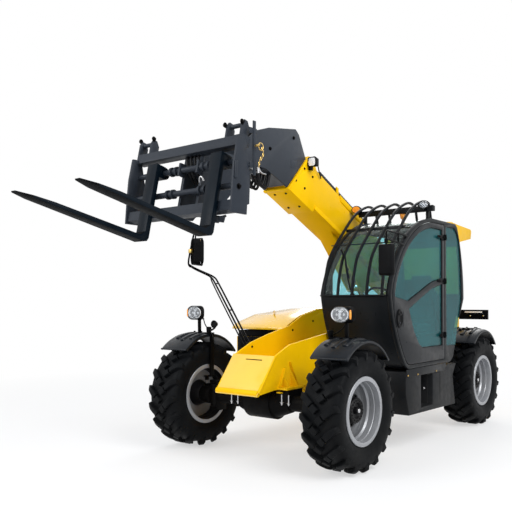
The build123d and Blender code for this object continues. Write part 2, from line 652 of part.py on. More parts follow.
def boom_base_solid():
    """Tapered box section with a collar at its mouth, a boss for the pivot and a lug box for the lift cylinder."""
    shell = side_plate(BASE_SIDE, -BOOM_HALF, BOOM_HALF)
    hollow_face = offset(side_face(BASE_SIDE), amount=-BOOM_WALL, kind=Kind.INTERSECTION)
    hollow = slab(hollow_face, -BOOM_HALF + BOOM_WALL, BOOM_HALF - BOOM_WALL)
    mouth_half = INNER_DEPTH / 2 + 8
    mouth = turned(box(-700, 400, -INNER_HALF - 8, INNER_HALF + 8, INNER_Z - mouth_half, INNER_Z + mouth_half),
                   INNER_X, INNER_Z, BOOM_DEG)
    shell = shell - hollow - mouth
    front_cover = side_plate([(-1050, 2462), (-1560, 1956), (-1572, 1968), (-1080, 2456)], -EAR_IN - 1, EAR_IN + 1)
    whole = shell + front_cover
    for s in (1, -1):
        ear = side_plate([(-1050, 2462), (LIFT_EYE_X + 70, LIFT_EYE_Z - 60), (LIFT_EYE_X - 40, LIFT_EYE_Z - 80),
                          (LIFT_EYE_X - 150, LIFT_EYE_Z + 60), (-2300, 1880), (-1080, 2445)], s * EAR_IN, s * EAR_OUT)
        whole = whole + ear
        whole = whole + cyl_y(PIVOT_X, PIVOT_Z, 100, s * (BOOM_HALF - 5), s * (FRAME_IN - GAP))
    whole = whole - cyl_y(PIVOT_X, PIVOT_Z, PIVOT_PIN_R, -300, 300)
    return whole


save("boom_base", boom_base_solid())


def inner_boom_solid():
    """Inner section: a square tube that slides inside the base section."""
    deep = INNER_DEPTH / 2
    wall = 10
    tube = box(-INNER_LEN, 150, -INNER_HALF, INNER_HALF, -deep, deep)
    tube = tube - box(-INNER_LEN - 1, 151, -INNER_HALF + wall, INNER_HALF - wall, -deep + wall, deep - wall)
    return Pos(INNER_X, 0, INNER_Z) * Rot(0, -BOOM_DEG, 0) * tube


save("boom_inner", inner_boom_solid())


HEAD_SIDE = [(-306, 3465), (-368, 3417), (-492, 3175), (-154, 2814), (-120, 2830), (200, 2950), (350, 2960), (395, 2875),
             (455, 2855), (520, 2890), (530, 3000), (506, 3085), (440, 3240), (343, 3314), (152, 3382)]


def boom_head_solid():
    """Two side plates welded to the inner section past the mouth of the boom, with a lid and a floor."""
    whole = side_plate([(-292, 3450), (-306, 3465), (152, 3382), (343, 3314), (335, 3296), (146, 3364)],
                       -INNER_HALF - 1, INNER_HALF + 1)
    floor = side_plate([(-120, 2830), (200, 2950), (196, 2962), (-124, 2842)], -INNER_HALF - 1, INNER_HALF + 1)
    whole = whole + floor
    for s in (1, -1):
        whole = whole + side_plate(HEAD_SIDE, s * INNER_HALF, s * (INNER_HALF + 20))
    return whole - cyl_y(TILT_X, TILT_Z, TILT_PIN_R, -300, 300)


save("boom_head", boom_head_solid())

# lift cylinder
base = (LIFT_BASE_X, LIFT_BASE_Z)
eye = (LIFT_EYE_X, LIFT_EYE_Z)
span = math.dist(base, eye)
aim = math.degrees(math.atan2(eye[1] - base[1], eye[0] - base[0]))


def on_lift(shape):
    """From cylinder coordinates (x along the rod) to the machine."""
    return Pos(LIFT_BASE_X, 0, LIFT_BASE_Z) * Rot(0, -aim, 0) * shape


BARREL_END = 1150
ROD_START = 465
barrel = fuse(rod((0, -50, 0), (0, 50, 0), 62), rod((40, 0, 0), (BARREL_END, 0, 0), LIFT_BARREL_R))
barrel = barrel - rod((150, 0, 0), (BARREL_END + 1, 0, 0), LIFT_ROD_R + 5) - rod((0, -60, 0), (0, 60, 0), LIFT_PIN_R)
save("lift_barrel", on_lift(barrel))
save("lift_pin", cyl_y(LIFT_BASE_X, LIFT_BASE_Z, LIFT_PIN_R - PIN_CLEAR, -EAR_OUT - 3, EAR_OUT + 3))
rod_piece = fuse(rod((ROD_START, 0, 0), (span - 40, 0, 0), LIFT_ROD_R), rod((span, -40, 0), (span, 40, 0), 60))
rod_piece = rod_piece - rod((span, -50, 0), (span, 50, 0), 32)
save("lift_rod", on_lift(rod_piece))

# ---------------------------------------------------------------- carriage and forks
# These are drawn upright in fork coordinates: the heel at the origin, x along the blade, z along the shank.
HEEL_X, HEEL_Z = 1353, 2155
SHANK_TOP = 760
SHAFT_X, UPPER_SHAFT_Z, LOWER_SHAFT_Z = -112, 700, 475
SHAFT_R = 28
FORK_EYE_R = 58


def at_forks(shape):
    """From fork coordinates to the machine."""
    return Pos(HEEL_X, 0, HEEL_Z) * Rot(0, -FORK_DEG, 0) * shape


def to_forks(x, z):
    """A machine point in fork coordinates."""
    a = math.radians(FORK_DEG)
    dx, dz = x - HEEL_X, z - HEEL_Z
    return dx * math.cos(a) + dz * math.sin(a), dz * math.cos(a) - dx * math.sin(a)


# each cheek in machine coordinates
CHEEK = [(1071, 2348), (1269, 2349), (1250, 2600), (1232, 2775), (1185, 2985), (1083, 2989), (1031, 2696), (1031, 2581),
         (1037, 2443), (1065, 2432)]


def carriage_solid():
    """Welded frame: two beams, two cheeks, two ribs that reach back to the tilt pin, and the top clevises."""
    face = -FORK_T - PIN_CLEAR
    pin_x, pin_z = to_forks(TILT_X, TILT_Z)
    top = box(face - 95, face, CARRIAGE_RIGHT + 1, CARRIAGE_LEFT - 1, 825, 914)
    bottom = box(face - 95, face, CARRIAGE_RIGHT + 1, CARRIAGE_LEFT - 1, 235, 325)
    whole = fuse(top, bottom)
    cheek = [to_forks(x, z) for x, z in CHEEK]
    whole = whole + side_plate(cheek, CARRIAGE_LEFT - 20, CARRIAGE_LEFT)
    whole = whole + side_plate(cheek, CARRIAGE_RIGHT, CARRIAGE_RIGHT + 20)
    rib = [(pin_x - 60, pin_z + 30), (pin_x + 60, pin_z + 70), (face - 90, 900), (face - 90, 250), (-330, 280),
           (pin_x - 20, pin_z - 75)]
    lug = [(face - 95, 830), (face - 95, 1010), (face - 60, 1060), (face - 20, 1060), (face, 1020), (face, 830)]
    for y in (430, 600, CARRIAGE_RIGHT, CARRIAGE_RIGHT + 160):
        whole = whole + side_plate(lug, y, y + 20)
    whole = whole + cyl_y(face - 45, 1025, 20, 435, 610)
    whole = whole + cyl_y(face - 45, 1025, 20, CARRIAGE_RIGHT + 5, CARRIAGE_RIGHT + 170)
    for z in (UPPER_SHAFT_Z, LOWER_SHAFT_Z):
        whole = whole + cyl_y(SHAFT_X, z, SHAFT_R, CARRIAGE_RIGHT + 5, CARRIAGE_LEFT - 5)
    tube = cyl_y(pin_x, pin_z, 62, -131, 131)
    whole = whole + tube
    for s in (1, -1):
        whole = whole + side_plate(rib, s * 100, s * 130)
        web = side_plate([(SHAFT_X + 40, 640), (face - 90, 640), (-300, 520), (-300, 780), (SHAFT_X + 40, 760)],
                         s * 105, s * 125)
        whole = whole + web
    return at_forks(whole - cyl_y(pin_x, pin_z, TILT_PIN_R, -200, 200))


save("carriage", carriage_solid())
save("tilt_pin", cyl_y(TILT_X, TILT_Z, TILT_PIN_R - PIN_CLEAR, -BOOM_HALF - 40, BOOM_HALF + 40))


def fork_solid():
    """Pallet fork about y = 0: tapered blade, shank and the eye that hangs on the upper shaft."""
    blade = side_plate(
        [(0, 0), (FORK_LEN, 25), (FORK_LEN + 8, 34), (FORK_LEN - 320, FORK_T), (50, FORK_T), (0, 95),
         (0, SHANK_TOP), (-FORK_T, SHANK_TOP), (-FORK_T, 45), (-35, 12)], -FORK_W / 2, FORK_W / 2)
    tip = Polyline((FORK_LEN - 130, -FORK_W, 0), (FORK_LEN + 10, -FORK_W, 0), (FORK_LEN + 10, -28, 0),
                   (FORK_LEN - 130, -FORK_W / 2, 0), close=True)
    chamfer = extrude(Pos(0, 0, -1) * make_face(tip), 90, dir=(0, 0, 1))
    blade = blade - chamfer - mirror(chamfer, about=Plane.XZ)
    eye = cyl_y(SHAFT_X, UPPER_SHAFT_Z, FORK_EYE_R, -FORK_W / 2, FORK_W / 2)
    eye = eye + box(SHAFT_X, -FORK_T + 5, -FORK_W / 2, FORK_W / 2, UPPER_SHAFT_Z - FORK_EYE_R, SHANK_TOP)
    hole = cyl_y(SHAFT_X, UPPER_SHAFT_Z, SHAFT_R + PIN_CLEAR, -FORK_W, FORK_W)
    return blade + eye - hole


for name, s in (("left", 1), ("right", -1)):
    save(f"fork_{name}", at_forks(Pos(0, s * FORK_Y, 0) * fork_solid()))
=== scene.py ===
# %% [markdown]
# # A telehandler, built around its packed construction model
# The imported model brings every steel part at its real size, already grouped into the bodies that move.
# The work here is the look: rounded sheet metal, tyres with tread, glass, lamps, hoses and paint. Each
# new piece rides on the body that carries it on the real machine, so that it moves when the joints move.

import json
import math
from contextlib import contextmanager

import bpy
from mathutils import Matrix, Vector

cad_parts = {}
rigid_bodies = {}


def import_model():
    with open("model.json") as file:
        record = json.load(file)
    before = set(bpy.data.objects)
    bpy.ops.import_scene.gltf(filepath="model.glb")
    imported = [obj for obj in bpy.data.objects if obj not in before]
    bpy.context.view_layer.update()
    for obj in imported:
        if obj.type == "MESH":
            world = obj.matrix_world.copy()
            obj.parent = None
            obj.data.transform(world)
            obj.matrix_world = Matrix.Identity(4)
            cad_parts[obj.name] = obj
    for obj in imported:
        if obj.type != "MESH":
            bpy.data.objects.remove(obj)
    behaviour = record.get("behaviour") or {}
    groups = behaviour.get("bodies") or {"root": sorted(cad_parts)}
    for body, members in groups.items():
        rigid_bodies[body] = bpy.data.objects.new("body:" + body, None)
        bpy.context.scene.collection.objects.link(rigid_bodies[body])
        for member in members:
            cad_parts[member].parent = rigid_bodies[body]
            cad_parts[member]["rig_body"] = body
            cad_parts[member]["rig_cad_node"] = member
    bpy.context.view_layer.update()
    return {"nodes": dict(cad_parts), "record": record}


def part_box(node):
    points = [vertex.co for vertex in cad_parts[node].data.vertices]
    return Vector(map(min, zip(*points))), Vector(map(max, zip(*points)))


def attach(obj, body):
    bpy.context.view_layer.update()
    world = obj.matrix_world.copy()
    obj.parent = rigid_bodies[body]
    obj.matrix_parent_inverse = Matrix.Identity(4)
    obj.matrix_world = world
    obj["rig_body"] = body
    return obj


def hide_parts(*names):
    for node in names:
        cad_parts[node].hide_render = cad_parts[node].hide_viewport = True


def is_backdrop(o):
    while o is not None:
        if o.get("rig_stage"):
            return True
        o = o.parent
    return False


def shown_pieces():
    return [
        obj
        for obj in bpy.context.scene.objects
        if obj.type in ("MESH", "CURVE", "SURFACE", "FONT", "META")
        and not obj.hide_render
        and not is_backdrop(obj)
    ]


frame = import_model()

# %% [markdown]
# ## Where things are
# All lengths are metres. The front axle's wheel centre is read from its tyre, and other positions are
# given from there with `at(x, y, z)`: x forward of the front axle, y to the machine's left, z above the
# ground. This is how a fitter would measure the machine.

# %% Reference points
tyre_low, tyre_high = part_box("tyre_fl")
FRONT_X = (tyre_low.x + tyre_high.x) / 2
HUB_Y = (tyre_low.y + tyre_high.y) / 2
AXLE_Z = (tyre_low.z + tyre_high.z) / 2
TYRE_R = (tyre_high.z - tyre_low.z) / 2
rear_low, rear_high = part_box("tyre_rl")
WHEELBASE = FRONT_X - (rear_low.x + rear_high.x) / 2
BOOM_ANGLE = math.radians(24.5)


def at(x, y, z):
    """A point measured from the front axle's centre line, in the frame."""
    return Vector((FRONT_X + x, y, z))


def dials(node, values):
    """Set several inputs of a shader node by name."""
    for name, value in values.items():
        node.inputs[name].default_value = value


def seen_rays(tree):
    """A socket that is one for what is seen, mirrored or through glass too, and nought for plain light."""
    rays = tree.nodes.new("ShaderNodeLightPath")
    seen = rays.outputs["Is Camera Ray"]
    for kind in ("Is Glossy Ray", "Is Transmission Ray"):
        either = tree.nodes.new("ShaderNodeMath")
        either.operation = "MAXIMUM"
        tree.links.new(seen, either.inputs[0])
        tree.links.new(rays.outputs[kind], either.inputs[1])
        seen = either.outputs[0]
    return seen


print("front axle x", round(FRONT_X, 3), "wheelbase", round(WHEELBASE, 3), "tyre radius", round(TYRE_R, 3))

# %% [markdown]
# ## Camera, light and floor
# The camera stands at head height off the machine's front left corner. Its small shift keeps the
# verticals upright while the machine sits off centre. Two large soft lamps and a pale world give plain
# studio light.

# %% Camera
cam_data = bpy.data.cameras.new("camera")
cam_data.sensor_width = 36
cam_data.lens = 45.14
cam_data.shift_x = -0.0664
cam_data.shift_y = 0.0664
camera = bpy.data.objects.new("camera", cam_data)
bpy.context.scene.collection.objects.link(camera)
camera.location = at(5.242, 4.237, 1.587)
yaw, pitch = math.radians(36.83), math.radians(1.19)
sight = Vector((-math.cos(yaw) * math.cos(pitch), -math.sin(yaw) * math.cos(pitch), math.sin(pitch)))
camera.rotation_mode = "QUATERNION"
camera.rotation_quaternion = sight.to_track_quat("-Z", "Y")
bpy.context.scene.camera = camera
bpy.context.scene.view_settings.view_transform = "Standard"
print("camera at", [round(v, 2) for v in camera.location])


# %% Lamps and world
def area_lamp(name, place, target, size, power, colour=(1, 1, 1)):
    data = bpy.data.lights.new(name, "AREA")
    data.size = size
    data.energy = power
    data.color = colour
    lamp = bpy.data.objects.new(name, data)
    bpy.context.scene.collection.objects.link(lamp)
    lamp.location = place
    lamp.rotation_mode = "QUATERNION"
    lamp.rotation_quaternion = (target - place).to_track_quat("-Z", "Y")
    return lamp


middle = at(-1.2, 0, 1.4)
area_lamp("key_lamp", at(1.5, 7.5, 8.0), middle, 6.0, 780)
area_lamp("front_lamp", at(8.5, -3.5, 6.0), middle, 5.0, 530)
area_lamp("rear_lamp", at(-9.0, -3.0, 7.0), middle, 6.0, 360)

world = bpy.data.worlds.new("studio")
bpy.context.scene.world = world
world.use_nodes = True
sky = world.node_tree.nodes
wires = world.node_tree.links
for node in list(sky):
    sky.remove(node)
out = sky.new("ShaderNodeOutputWorld")
mix = sky.new("ShaderNodeMixShader")
room = sky.new("ShaderNodeBackground")
dials(room, {"Color": (0.9, 0.94, 1.0, 1), "Strength": 0.55})
white = sky.new("ShaderNodeBackground")
dials(white, {"Color": (1, 1, 1, 1), "Strength": 1.0})
wires.new(seen_rays(world.node_tree), mix.inputs[0])
wires.new(room.outputs[0], mix.inputs[1])
wires.new(white.outputs[0], mix.inputs[2])
wires.new(mix.outputs[0], out.inputs[0])
print("world and lamps ready")


# %% Helpers for selecting
def deselect():
    """Object mode, nothing selected."""
    if bpy.context.mode != "OBJECT":
        bpy.ops.object.mode_set(mode="OBJECT")
    bpy.ops.object.select_all(action="DESELECT")


def only(obj):
    """Object mode, just this one selected and active."""
    deselect()
    obj.select_set(True)
    bpy.context.view_layer.objects.active = obj
    return obj


@contextmanager
def editing(obj):
    """Edit mode with the whole mesh selected, and object mode again afterwards."""
    only(obj)
    bpy.ops.object.mode_set(mode="EDIT")
    bpy.ops.mesh.select_all(action="SELECT")
    yield
    bpy.ops.object.mode_set(mode="OBJECT")


def settle(obj):
    """Put the object's place and turn into its mesh."""
    only(obj)
    bpy.ops.object.transform_apply(location=True, rotation=True, scale=True)
    return obj


def join(name, parts):
    """Several meshes as one piece."""
    deselect()
    for part in parts:
        part.select_set(True)
    bpy.context.view_layer.objects.active = parts[0]
    if len(parts) > 1:
        bpy.ops.object.join()
    parts[0].name = name
    return parts[0]


def apply_all(obj):
    """Make every modifier part of the mesh."""
    only(obj)
    for modifier in list(obj.modifiers):
        bpy.ops.object.modifier_apply(modifier=modifier.name)
    return obj


def smooth(obj, degrees=35):
    """Round shading, with edges sharper than the angle kept crisp."""
    only(obj)
    bpy.ops.object.shade_smooth_by_angle(angle=math.radians(degrees))
    return obj


def soften(obj, width, segments=2, angle=30):
    """Rounded edges, as folded or ground steel has."""
    if width > 0:
        bevel = obj.modifiers.new("round", "BEVEL")
        bevel.width = width
        bevel.segments = segments
        bevel.limit_method = "ANGLE"
        bevel.angle_limit = math.radians(angle)
        bevel.harden_normals = False
        bevel.use_clamp_overlap = True
        apply_all(obj)
    return smooth(obj)


print("helpers ready")
# %% [markdown]
# ## Finishes
# Every finish is made from noise in object coordinates, so that it needs no picture and has no seams. A
# base colour is varied a little, dust gathers near the ground, and a fine bump breaks up the highlights
# as real paint and rubber do.

# %% Material helpers
def new_finish(name):
    """An empty material with its shader; returns the material, the shader and a function that adds nodes."""
    mat = bpy.data.materials.new(name)
    mat.use_nodes = True
    tree = mat.node_tree
    shader = tree.nodes["Principled BSDF"]

    def add(kind, **values):
        node = tree.nodes.new(kind)
        for key, value in values.items():
            if hasattr(node, key):
                setattr(node, key, value)
            else:
                node.inputs[key.replace("_", " ")].default_value = value
        return node

    return mat, shader, add


def noise(mat, add, scale, detail=4.0, stretch=(1, 1, 1)):
    """Noise in object coordinates, stretched along the axes if asked."""
    links = mat.node_tree.links
    place = add("ShaderNodeTexCoord")
    mapping = add("ShaderNodeMapping")
    mapping.inputs["Scale"].default_value = stretch
    texture = add("ShaderNodeTexNoise")
    dials(texture, {"Scale": scale, "Detail": detail})
    links.new(place.outputs["Object"], mapping.inputs["Vector"])
    links.new(mapping.outputs[0], texture.inputs["Vector"])
    return texture.outputs["Fac"]


def ramp(mat, add, source, low, high, from_value=0.0, to_value=1.0):
    """Stretch part of a value's range onto another range."""
    node = add("ShaderNodeMapRange")
    dials(node, {"From Min": low, "From Max": high, "To Min": from_value, "To Max": to_value})
    mat.node_tree.links.new(source, node.inputs["Value"])
    return node.outputs["Result"]


def blend_colours(mat, add, amount, first, second):
    """Mix two colours, or a colour and a socket, by an amount."""
    node = add("ShaderNodeMix")
    node.data_type = "RGBA"
    links = mat.node_tree.links
    links.new(amount, node.inputs[0])
    for socket, value in ((node.inputs[6], first), (node.inputs[7], second)):
        if isinstance(value, (tuple, list)):
            socket.default_value = (*value, 1)
        else:
            links.new(value, socket)
    return node.outputs[2]


def bumpy(mat, shader, add, height, distance, strength=0.5):
    """Feed a height into the shader's normal."""
    node = add("ShaderNodeBump")
    dials(node, {"Strength": strength, "Distance": distance})
    mat.node_tree.links.new(height, node.inputs["Height"])
    mat.node_tree.links.new(node.outputs[0], shader.inputs["Normal"])


def dusty(mat, add, colour, dust, top, most):
    """Dust over a colour: strongest at the ground and gone at the height top."""
    links = mat.node_tree.links
    place = add("ShaderNodeTexCoord")
    split = add("ShaderNodeSeparateXYZ")
    links.new(place.outputs["Object"], split.inputs[0])
    height = ramp(mat, add, split.outputs["Z"], 0.0, top, most, 0.0)
    patches = ramp(mat, add, noise(mat, add, 5.0, 6.0), 0.35, 0.7)
    amount = add("ShaderNodeMath", operation="MULTIPLY")
    links.new(height, amount.inputs[0])
    links.new(patches, amount.inputs[1])
    return blend_colours(mat, add, amount.outputs[0], colour, dust)


# %% Paint
def paint(
    name, colour, rough=0.34, coat=0.25, grain=0.0004, metal=0.0, dust_most=0.35, shade=0.82, shine=0.5
):
    """Sprayed machine paint: slight mottling, orange peel and a little dust low down."""
    mat, shader, add = new_finish(name)
    links = mat.node_tree.links
    dark = tuple(c * shade for c in colour)
    mottle = ramp(mat, add, noise(mat, add, 3.0, 8.0), 0.35, 0.75)
    base = blend_colours(mat, add, mottle, colour, dark)
    base = dusty(mat, add, base, (0.36, 0.31, 0.25), 1.1, dust_most)
    links.new(base, shader.inputs["Base Color"])
    rub = ramp(mat, add, noise(mat, add, 14.0, 6.0), 0.3, 0.7, rough - 0.06, rough + 0.1)
    links.new(rub, shader.inputs["Roughness"])
    dials(shader, {
        "Metallic": metal, "Specular IOR Level": shine, "Coat Weight": coat, "Coat Roughness": 0.12,
        "Coat IOR": 1.9
    })
    bumpy(mat, shader, add, noise(mat, add, 240.0, 2.0), grain, 0.35)
    return mat


YELLOW = paint(
    "yellow_paint", (0.93, 0.535, 0.0015), rough=0.33, coat=0.0, dust_most=0.08, shade=0.9, shine=0.07
)
HOOD_YELLOW = paint(
    "hood_paint", (0.93, 0.54, 0.003), rough=0.2, coat=0.9, dust_most=0.04, shade=0.92, shine=0.4
)
# The nose cover's yellow is paler than the body yellow: painted sheen, for the pale sky reflection on the
# nose plate.
NOSE_YELLOW_PAINTED_SHEEN = paint(
    "nose_paint_painted_sheen", (0.93, 0.58, 0.05), rough=0.4, coat=0.35, dust_most=0.04, shade=0.92, shine=0.5
)
DARK_GREY = paint("dark_grey_paint", (0.011, 0.012, 0.0135), rough=0.4, coat=0.0, dust_most=0.04, shine=0.1)
CAB_GREY = paint("cab_grey_paint", (0.0085, 0.01, 0.0118), rough=0.32, coat=0.0, dust_most=0.02, shine=0.12)
DOOR_GREY = paint("door_grey_paint", (0.015, 0.0165, 0.019), rough=0.32, coat=0.0, dust_most=0.02, shine=0.14)
HEAD_GREY = paint("head_grey_paint", (0.03, 0.036, 0.046), rough=0.36, coat=0.01, dust_most=0.0, shine=0.2)
CHARCOAL = paint("charcoal_paint", (0.022, 0.0275, 0.037), rough=0.42, coat=0.0, dust_most=0.0, shine=0.16)
BLACK_PAINT = paint("black_paint", (0.002, 0.0022, 0.0028), rough=0.36, coat=0.0, dust_most=0.02, shine=0.05)
CARRIER_GREY = paint("carrier_grey", (0.02, 0.022, 0.026), rough=0.4, coat=0.0, dust_most=0.0, shine=0.15)
AXLE_PAINT = paint("axle_paint", (0.0022, 0.0022, 0.0024), rough=0.45, coat=0.0, dust_most=0.03, shine=0.05)
RIM_SILVER = paint("rim_silver", (0.34, 0.35, 0.37), rough=0.36, coat=0.1, metal=0.4, dust_most=0.12)
# The rim disc's grey is darker than the rim's silver: painted shade for the shaded well of the rim.
RIM_DISC_PAINTED_SHADE = paint("rim_disc_painted_shade", (0.15, 0.155, 0.165), rough=0.4, coat=0.05, metal=0.3, dust_most=0.1, shine=0.3)
# Black for the hubs, and also painted shade on the inner barrel of each rim.
HUB_BLACK_AND_RIM_SHADE = paint("hub_black_and_rim_shade", (0.004, 0.004, 0.005), rough=0.34, coat=0.01, dust_most=0.03, shine=0.15)
print("paints ready")


# %% Rubber, plastic, metal, glass
def plain(
    name, colour, rough, metal=0.0, grain_scale=300.0, grain=0.0003, spread=0.12, dust_most=0.25, shine=0.5
):
    """A moulded or machined surface: small changes of colour and shine with a fine grain."""
    mat, shader, add = new_finish(name)
    links = mat.node_tree.links
    pale = tuple(min(1.0, c * 1.35 + 0.001) for c in colour)
    tone = ramp(mat, add, noise(mat, add, 9.0, 8.0), 0.3, 0.75)
    base = blend_colours(mat, add, tone, colour, pale)
    base = dusty(mat, add, base, (0.3, 0.27, 0.23), 1.0, dust_most)
    links.new(base, shader.inputs["Base Color"])
    rub = ramp(mat, add, noise(mat, add, 22.0, 6.0), 0.3, 0.7, rough - spread / 2, rough + spread / 2)
    links.new(rub, shader.inputs["Roughness"])
    dials(shader, {"Metallic": metal, "Specular IOR Level": shine})
    bumpy(mat, shader, add, noise(mat, add, grain_scale, 3.0), grain, 0.4)
    return mat


RUBBER = plain(
    "tyre_rubber", (0.0022, 0.0027, 0.0034), 0.55, grain_scale=160.0, grain=0.0012, dust_most=0.02, shine=0.07
)
BLACK_PLASTIC = plain("black_plastic", (0.0022, 0.0024, 0.003), 0.4, dust_most=0.02, shine=0.08)
FENDER_PLASTIC = plain("fender_plastic", (0.004, 0.0058, 0.0085), 0.34, dust_most=0.02, shine=0.22)
SEAL_RUBBER = plain("seal_rubber", (0.003, 0.003, 0.003), 0.6, dust_most=0.02, shine=0.1)
HOSE_RUBBER = plain("hose_rubber", (0.004, 0.004, 0.005), 0.42, grain_scale=500.0, dust_most=0.02, shine=0.15)
BRIGHT_STEEL = plain("bright_steel", (0.52, 0.52, 0.53), 0.28, metal=1.0, grain_scale=120.0)
ZINC = plain("zinc_bolts", (0.55, 0.54, 0.5), 0.35, metal=1.0)
BRASS_BOLT = plain("brass_bolts", (0.55, 0.38, 0.12), 0.34, metal=1.0)
CHROME = plain("rod_chrome", (0.62, 0.62, 0.64), 0.12, metal=1.0, spread=0.05, grain=0.0001)
CAST_IRON = plain("cast_iron", (0.045, 0.046, 0.048), 0.62, metal=0.3, grain_scale=90.0, grain=0.0015)
FORK_STEEL = plain(
    "fork_steel", (0.0022, 0.0026, 0.0032), 0.56, grain_scale=60.0, grain=0.0008, dust_most=0.0, shine=0.03
)
SHANK_STEEL = plain(
    "shank_steel", (0.0012, 0.004, 0.0075), 0.36, grain_scale=60.0, grain=0.0004, dust_most=0.0, shine=0.08
)
MIRROR_GLASS = plain("mirror_glass", (0.55, 0.57, 0.6), 0.05, metal=1.0, spread=0.02, grain=0.00005)
print("rubber, plastic and metals ready")


# %% Glass and lamps
def glass(name, tint, colour, share, at_edge=0.4, begins=0.55, rough=0.03):
    """Tinted pane: light goes through it in the tint's colour, and a share of the surface reflects."""
    mat, shader, add = new_finish(name)
    links = mat.node_tree.links
    streaks = ramp(mat, add, noise(mat, add, 1.6, 2.0), 0.35, 0.7)
    deep = tuple(c * 0.7 for c in colour)
    links.new(blend_colours(mat, add, streaks, colour, deep), shader.inputs["Base Color"])
    dials(shader, {"Roughness": rough, "Specular IOR Level": 0.6})
    through = add("ShaderNodeBsdfTransparent")
    through.inputs["Color"].default_value = (*tint, 1)
    both = add("ShaderNodeMixShader")
    graze = add("ShaderNodeLayerWeight")
    graze.inputs["Blend"].default_value = 0.3
    links.new(ramp(mat, add, graze.outputs["Facing"], begins, 1.0, share, share + at_edge), both.inputs[0])
    links.new(through.outputs[0], both.inputs[1])
    links.new(shader.outputs[0], both.inputs[2])
    links.new(both.outputs[0], mat.node_tree.nodes["Material Output"].inputs["Surface"])
    mat.surface_render_method = "BLENDED"
    return mat


def glowing(name, colour, strength, rough=0.15):
    """A lamp lens or reflector with a faint emission in its colour: painted glow, standing for the bright
    reflection in lens and reflector.
    """
    mat, shader, add = new_finish(name)
    cells = add("ShaderNodeTexVoronoi")
    cells.inputs["Scale"].default_value = 90.0
    place = add("ShaderNodeTexCoord")
    mat.node_tree.links.new(place.outputs["Object"], cells.inputs["Vector"])
    tone = ramp(mat, add, cells.outputs["Distance"], 0.0, 0.6)
    pale = tuple(min(1.0, c * 1.25 + 0.03) for c in colour)
    mat.node_tree.links.new(blend_colours(mat, add, tone, colour, pale), shader.inputs["Base Color"])
    dials(shader, {"Roughness": rough, "Emission Color": (*colour, 1), "Emission Strength": strength})
    bumpy(mat, shader, add, cells.outputs["Distance"], 0.002, 0.6)
    return mat


CAB_GLASS = glass("cab_glass_tint", (0.38, 0.72, 0.8), (0.034, 0.19, 0.198), 0.37)
FAR_GLASS = glass("far_glass_tint", (0.58, 0.9, 0.95), (0.16, 0.42, 0.44), 0.16)
SCREEN_GLASS = glass("windscreen_tint", (0.95, 0.98, 0.97), (0.5, 0.56, 0.54), 0.08, 0.55, 0.4)
# Painted light: the pale finish is a painted reflection, the white that a reflector and lens give back; the
# amber and red lenses carry a faint painted glow.
LENS_PAINTED_REFLECTION = glowing("lens_painted_reflection", (0.8, 0.81, 0.82), 0.12, 0.1)
LENS_CLEAR = glass("lens_clear", (0.93, 0.94, 0.95), (0.6, 0.62, 0.64), 0.25)
LENS_AMBER = glowing("lens_amber", (0.85, 0.28, 0.02), 0.08, 0.15)
LENS_RED = glowing("lens_red", (0.55, 0.012, 0.01), 0.08, 0.15)
WHITE_TAPE = plain("white_tape", (0.75, 0.75, 0.74), 0.4)
print("glass and lenses ready")


# %% Floor
deselect()
bpy.ops.mesh.primitive_plane_add(size=120, location=(0, 0, 0))
floor = bpy.context.object
floor.name = "floor"
mat, shader, add = new_finish("floor_white")
dials(shader, {"Base Color": (0.86, 0.86, 0.86, 1), "Roughness": 0.7})
tree = mat.node_tree
out = tree.nodes["Material Output"]
far = add("ShaderNodeEmission")
far.inputs["Color"].default_value = (1, 1, 1, 1)
mix = add("ShaderNodeMixShader")
place = add("ShaderNodeTexCoord")
length = add("ShaderNodeVectorMath", operation="LENGTH")
tree.links.new(place.outputs["Object"], length.inputs[0])
fade = ramp(mat, add, length.outputs["Value"], 3.5, 9.0, 0.55, 1.0)
either = add("ShaderNodeMath", operation="MULTIPLY")
tree.links.new(seen_rays(tree), either.inputs[0])
tree.links.new(fade, either.inputs[1])
tree.links.new(either.outputs[0], mix.inputs[0])
tree.links.new(shader.outputs[0], mix.inputs[1])
tree.links.new(far.outputs[0], mix.inputs[2])
tree.links.new(mix.outputs[0], out.inputs["Surface"])
floor.data.materials.append(mat)
floor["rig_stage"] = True
print("floor ready")
# %% [markdown]
# ## Steel with rounded edges
# Folded and flame-cut plate never has a knife edge: a fold has a radius, and the paint builds up on a
# cut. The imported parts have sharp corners, so each one that shows is copied, its triangles are merged
# back into flat faces, and a narrow bevel goes along its edges. That bevel is what catches the light. The
# copy stands for the part it came from.

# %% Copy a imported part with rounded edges
BODY_OF = {node: body for body, nodes in frame["record"]["behaviour"]["bodies"].items() for node in nodes}


def merged_copy(node, name):
    """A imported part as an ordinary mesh: doubles merged and flat areas joined into single faces."""
    source = frame["nodes"][node]
    obj = source.copy()
    obj.data = source.data.copy()
    obj.name = name
    obj.data.name = name
    bpy.context.scene.collection.objects.link(obj)
    obj.parent = None
    obj.matrix_world = Matrix.Identity(4)
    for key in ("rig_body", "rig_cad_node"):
        if key in obj:
            del obj[key]
    obj.data.materials.clear()
    with editing(obj):
        bpy.ops.mesh.remove_doubles(threshold=0.00005)
        bpy.ops.mesh.customdata_custom_splitnormals_clear()
        bpy.ops.mesh.dissolve_limited(angle_limit=math.radians(1.0))
    return obj


VISOR_LIFT = 0.088
HANDLE_Y = 1.1501  # outer face of the door panel


def raise_visor(obj):
    """Lift the front skirt of the hood, so that it ends in a visor over a dark opening; the dark is the black
    front wall, painted shade.
    """
    for vertex in obj.data.vertices:
        if vertex.co.x > FRONT_X - 0.735 and vertex.co.z < 1.2:
            vertex.co.z += VISOR_LIFT


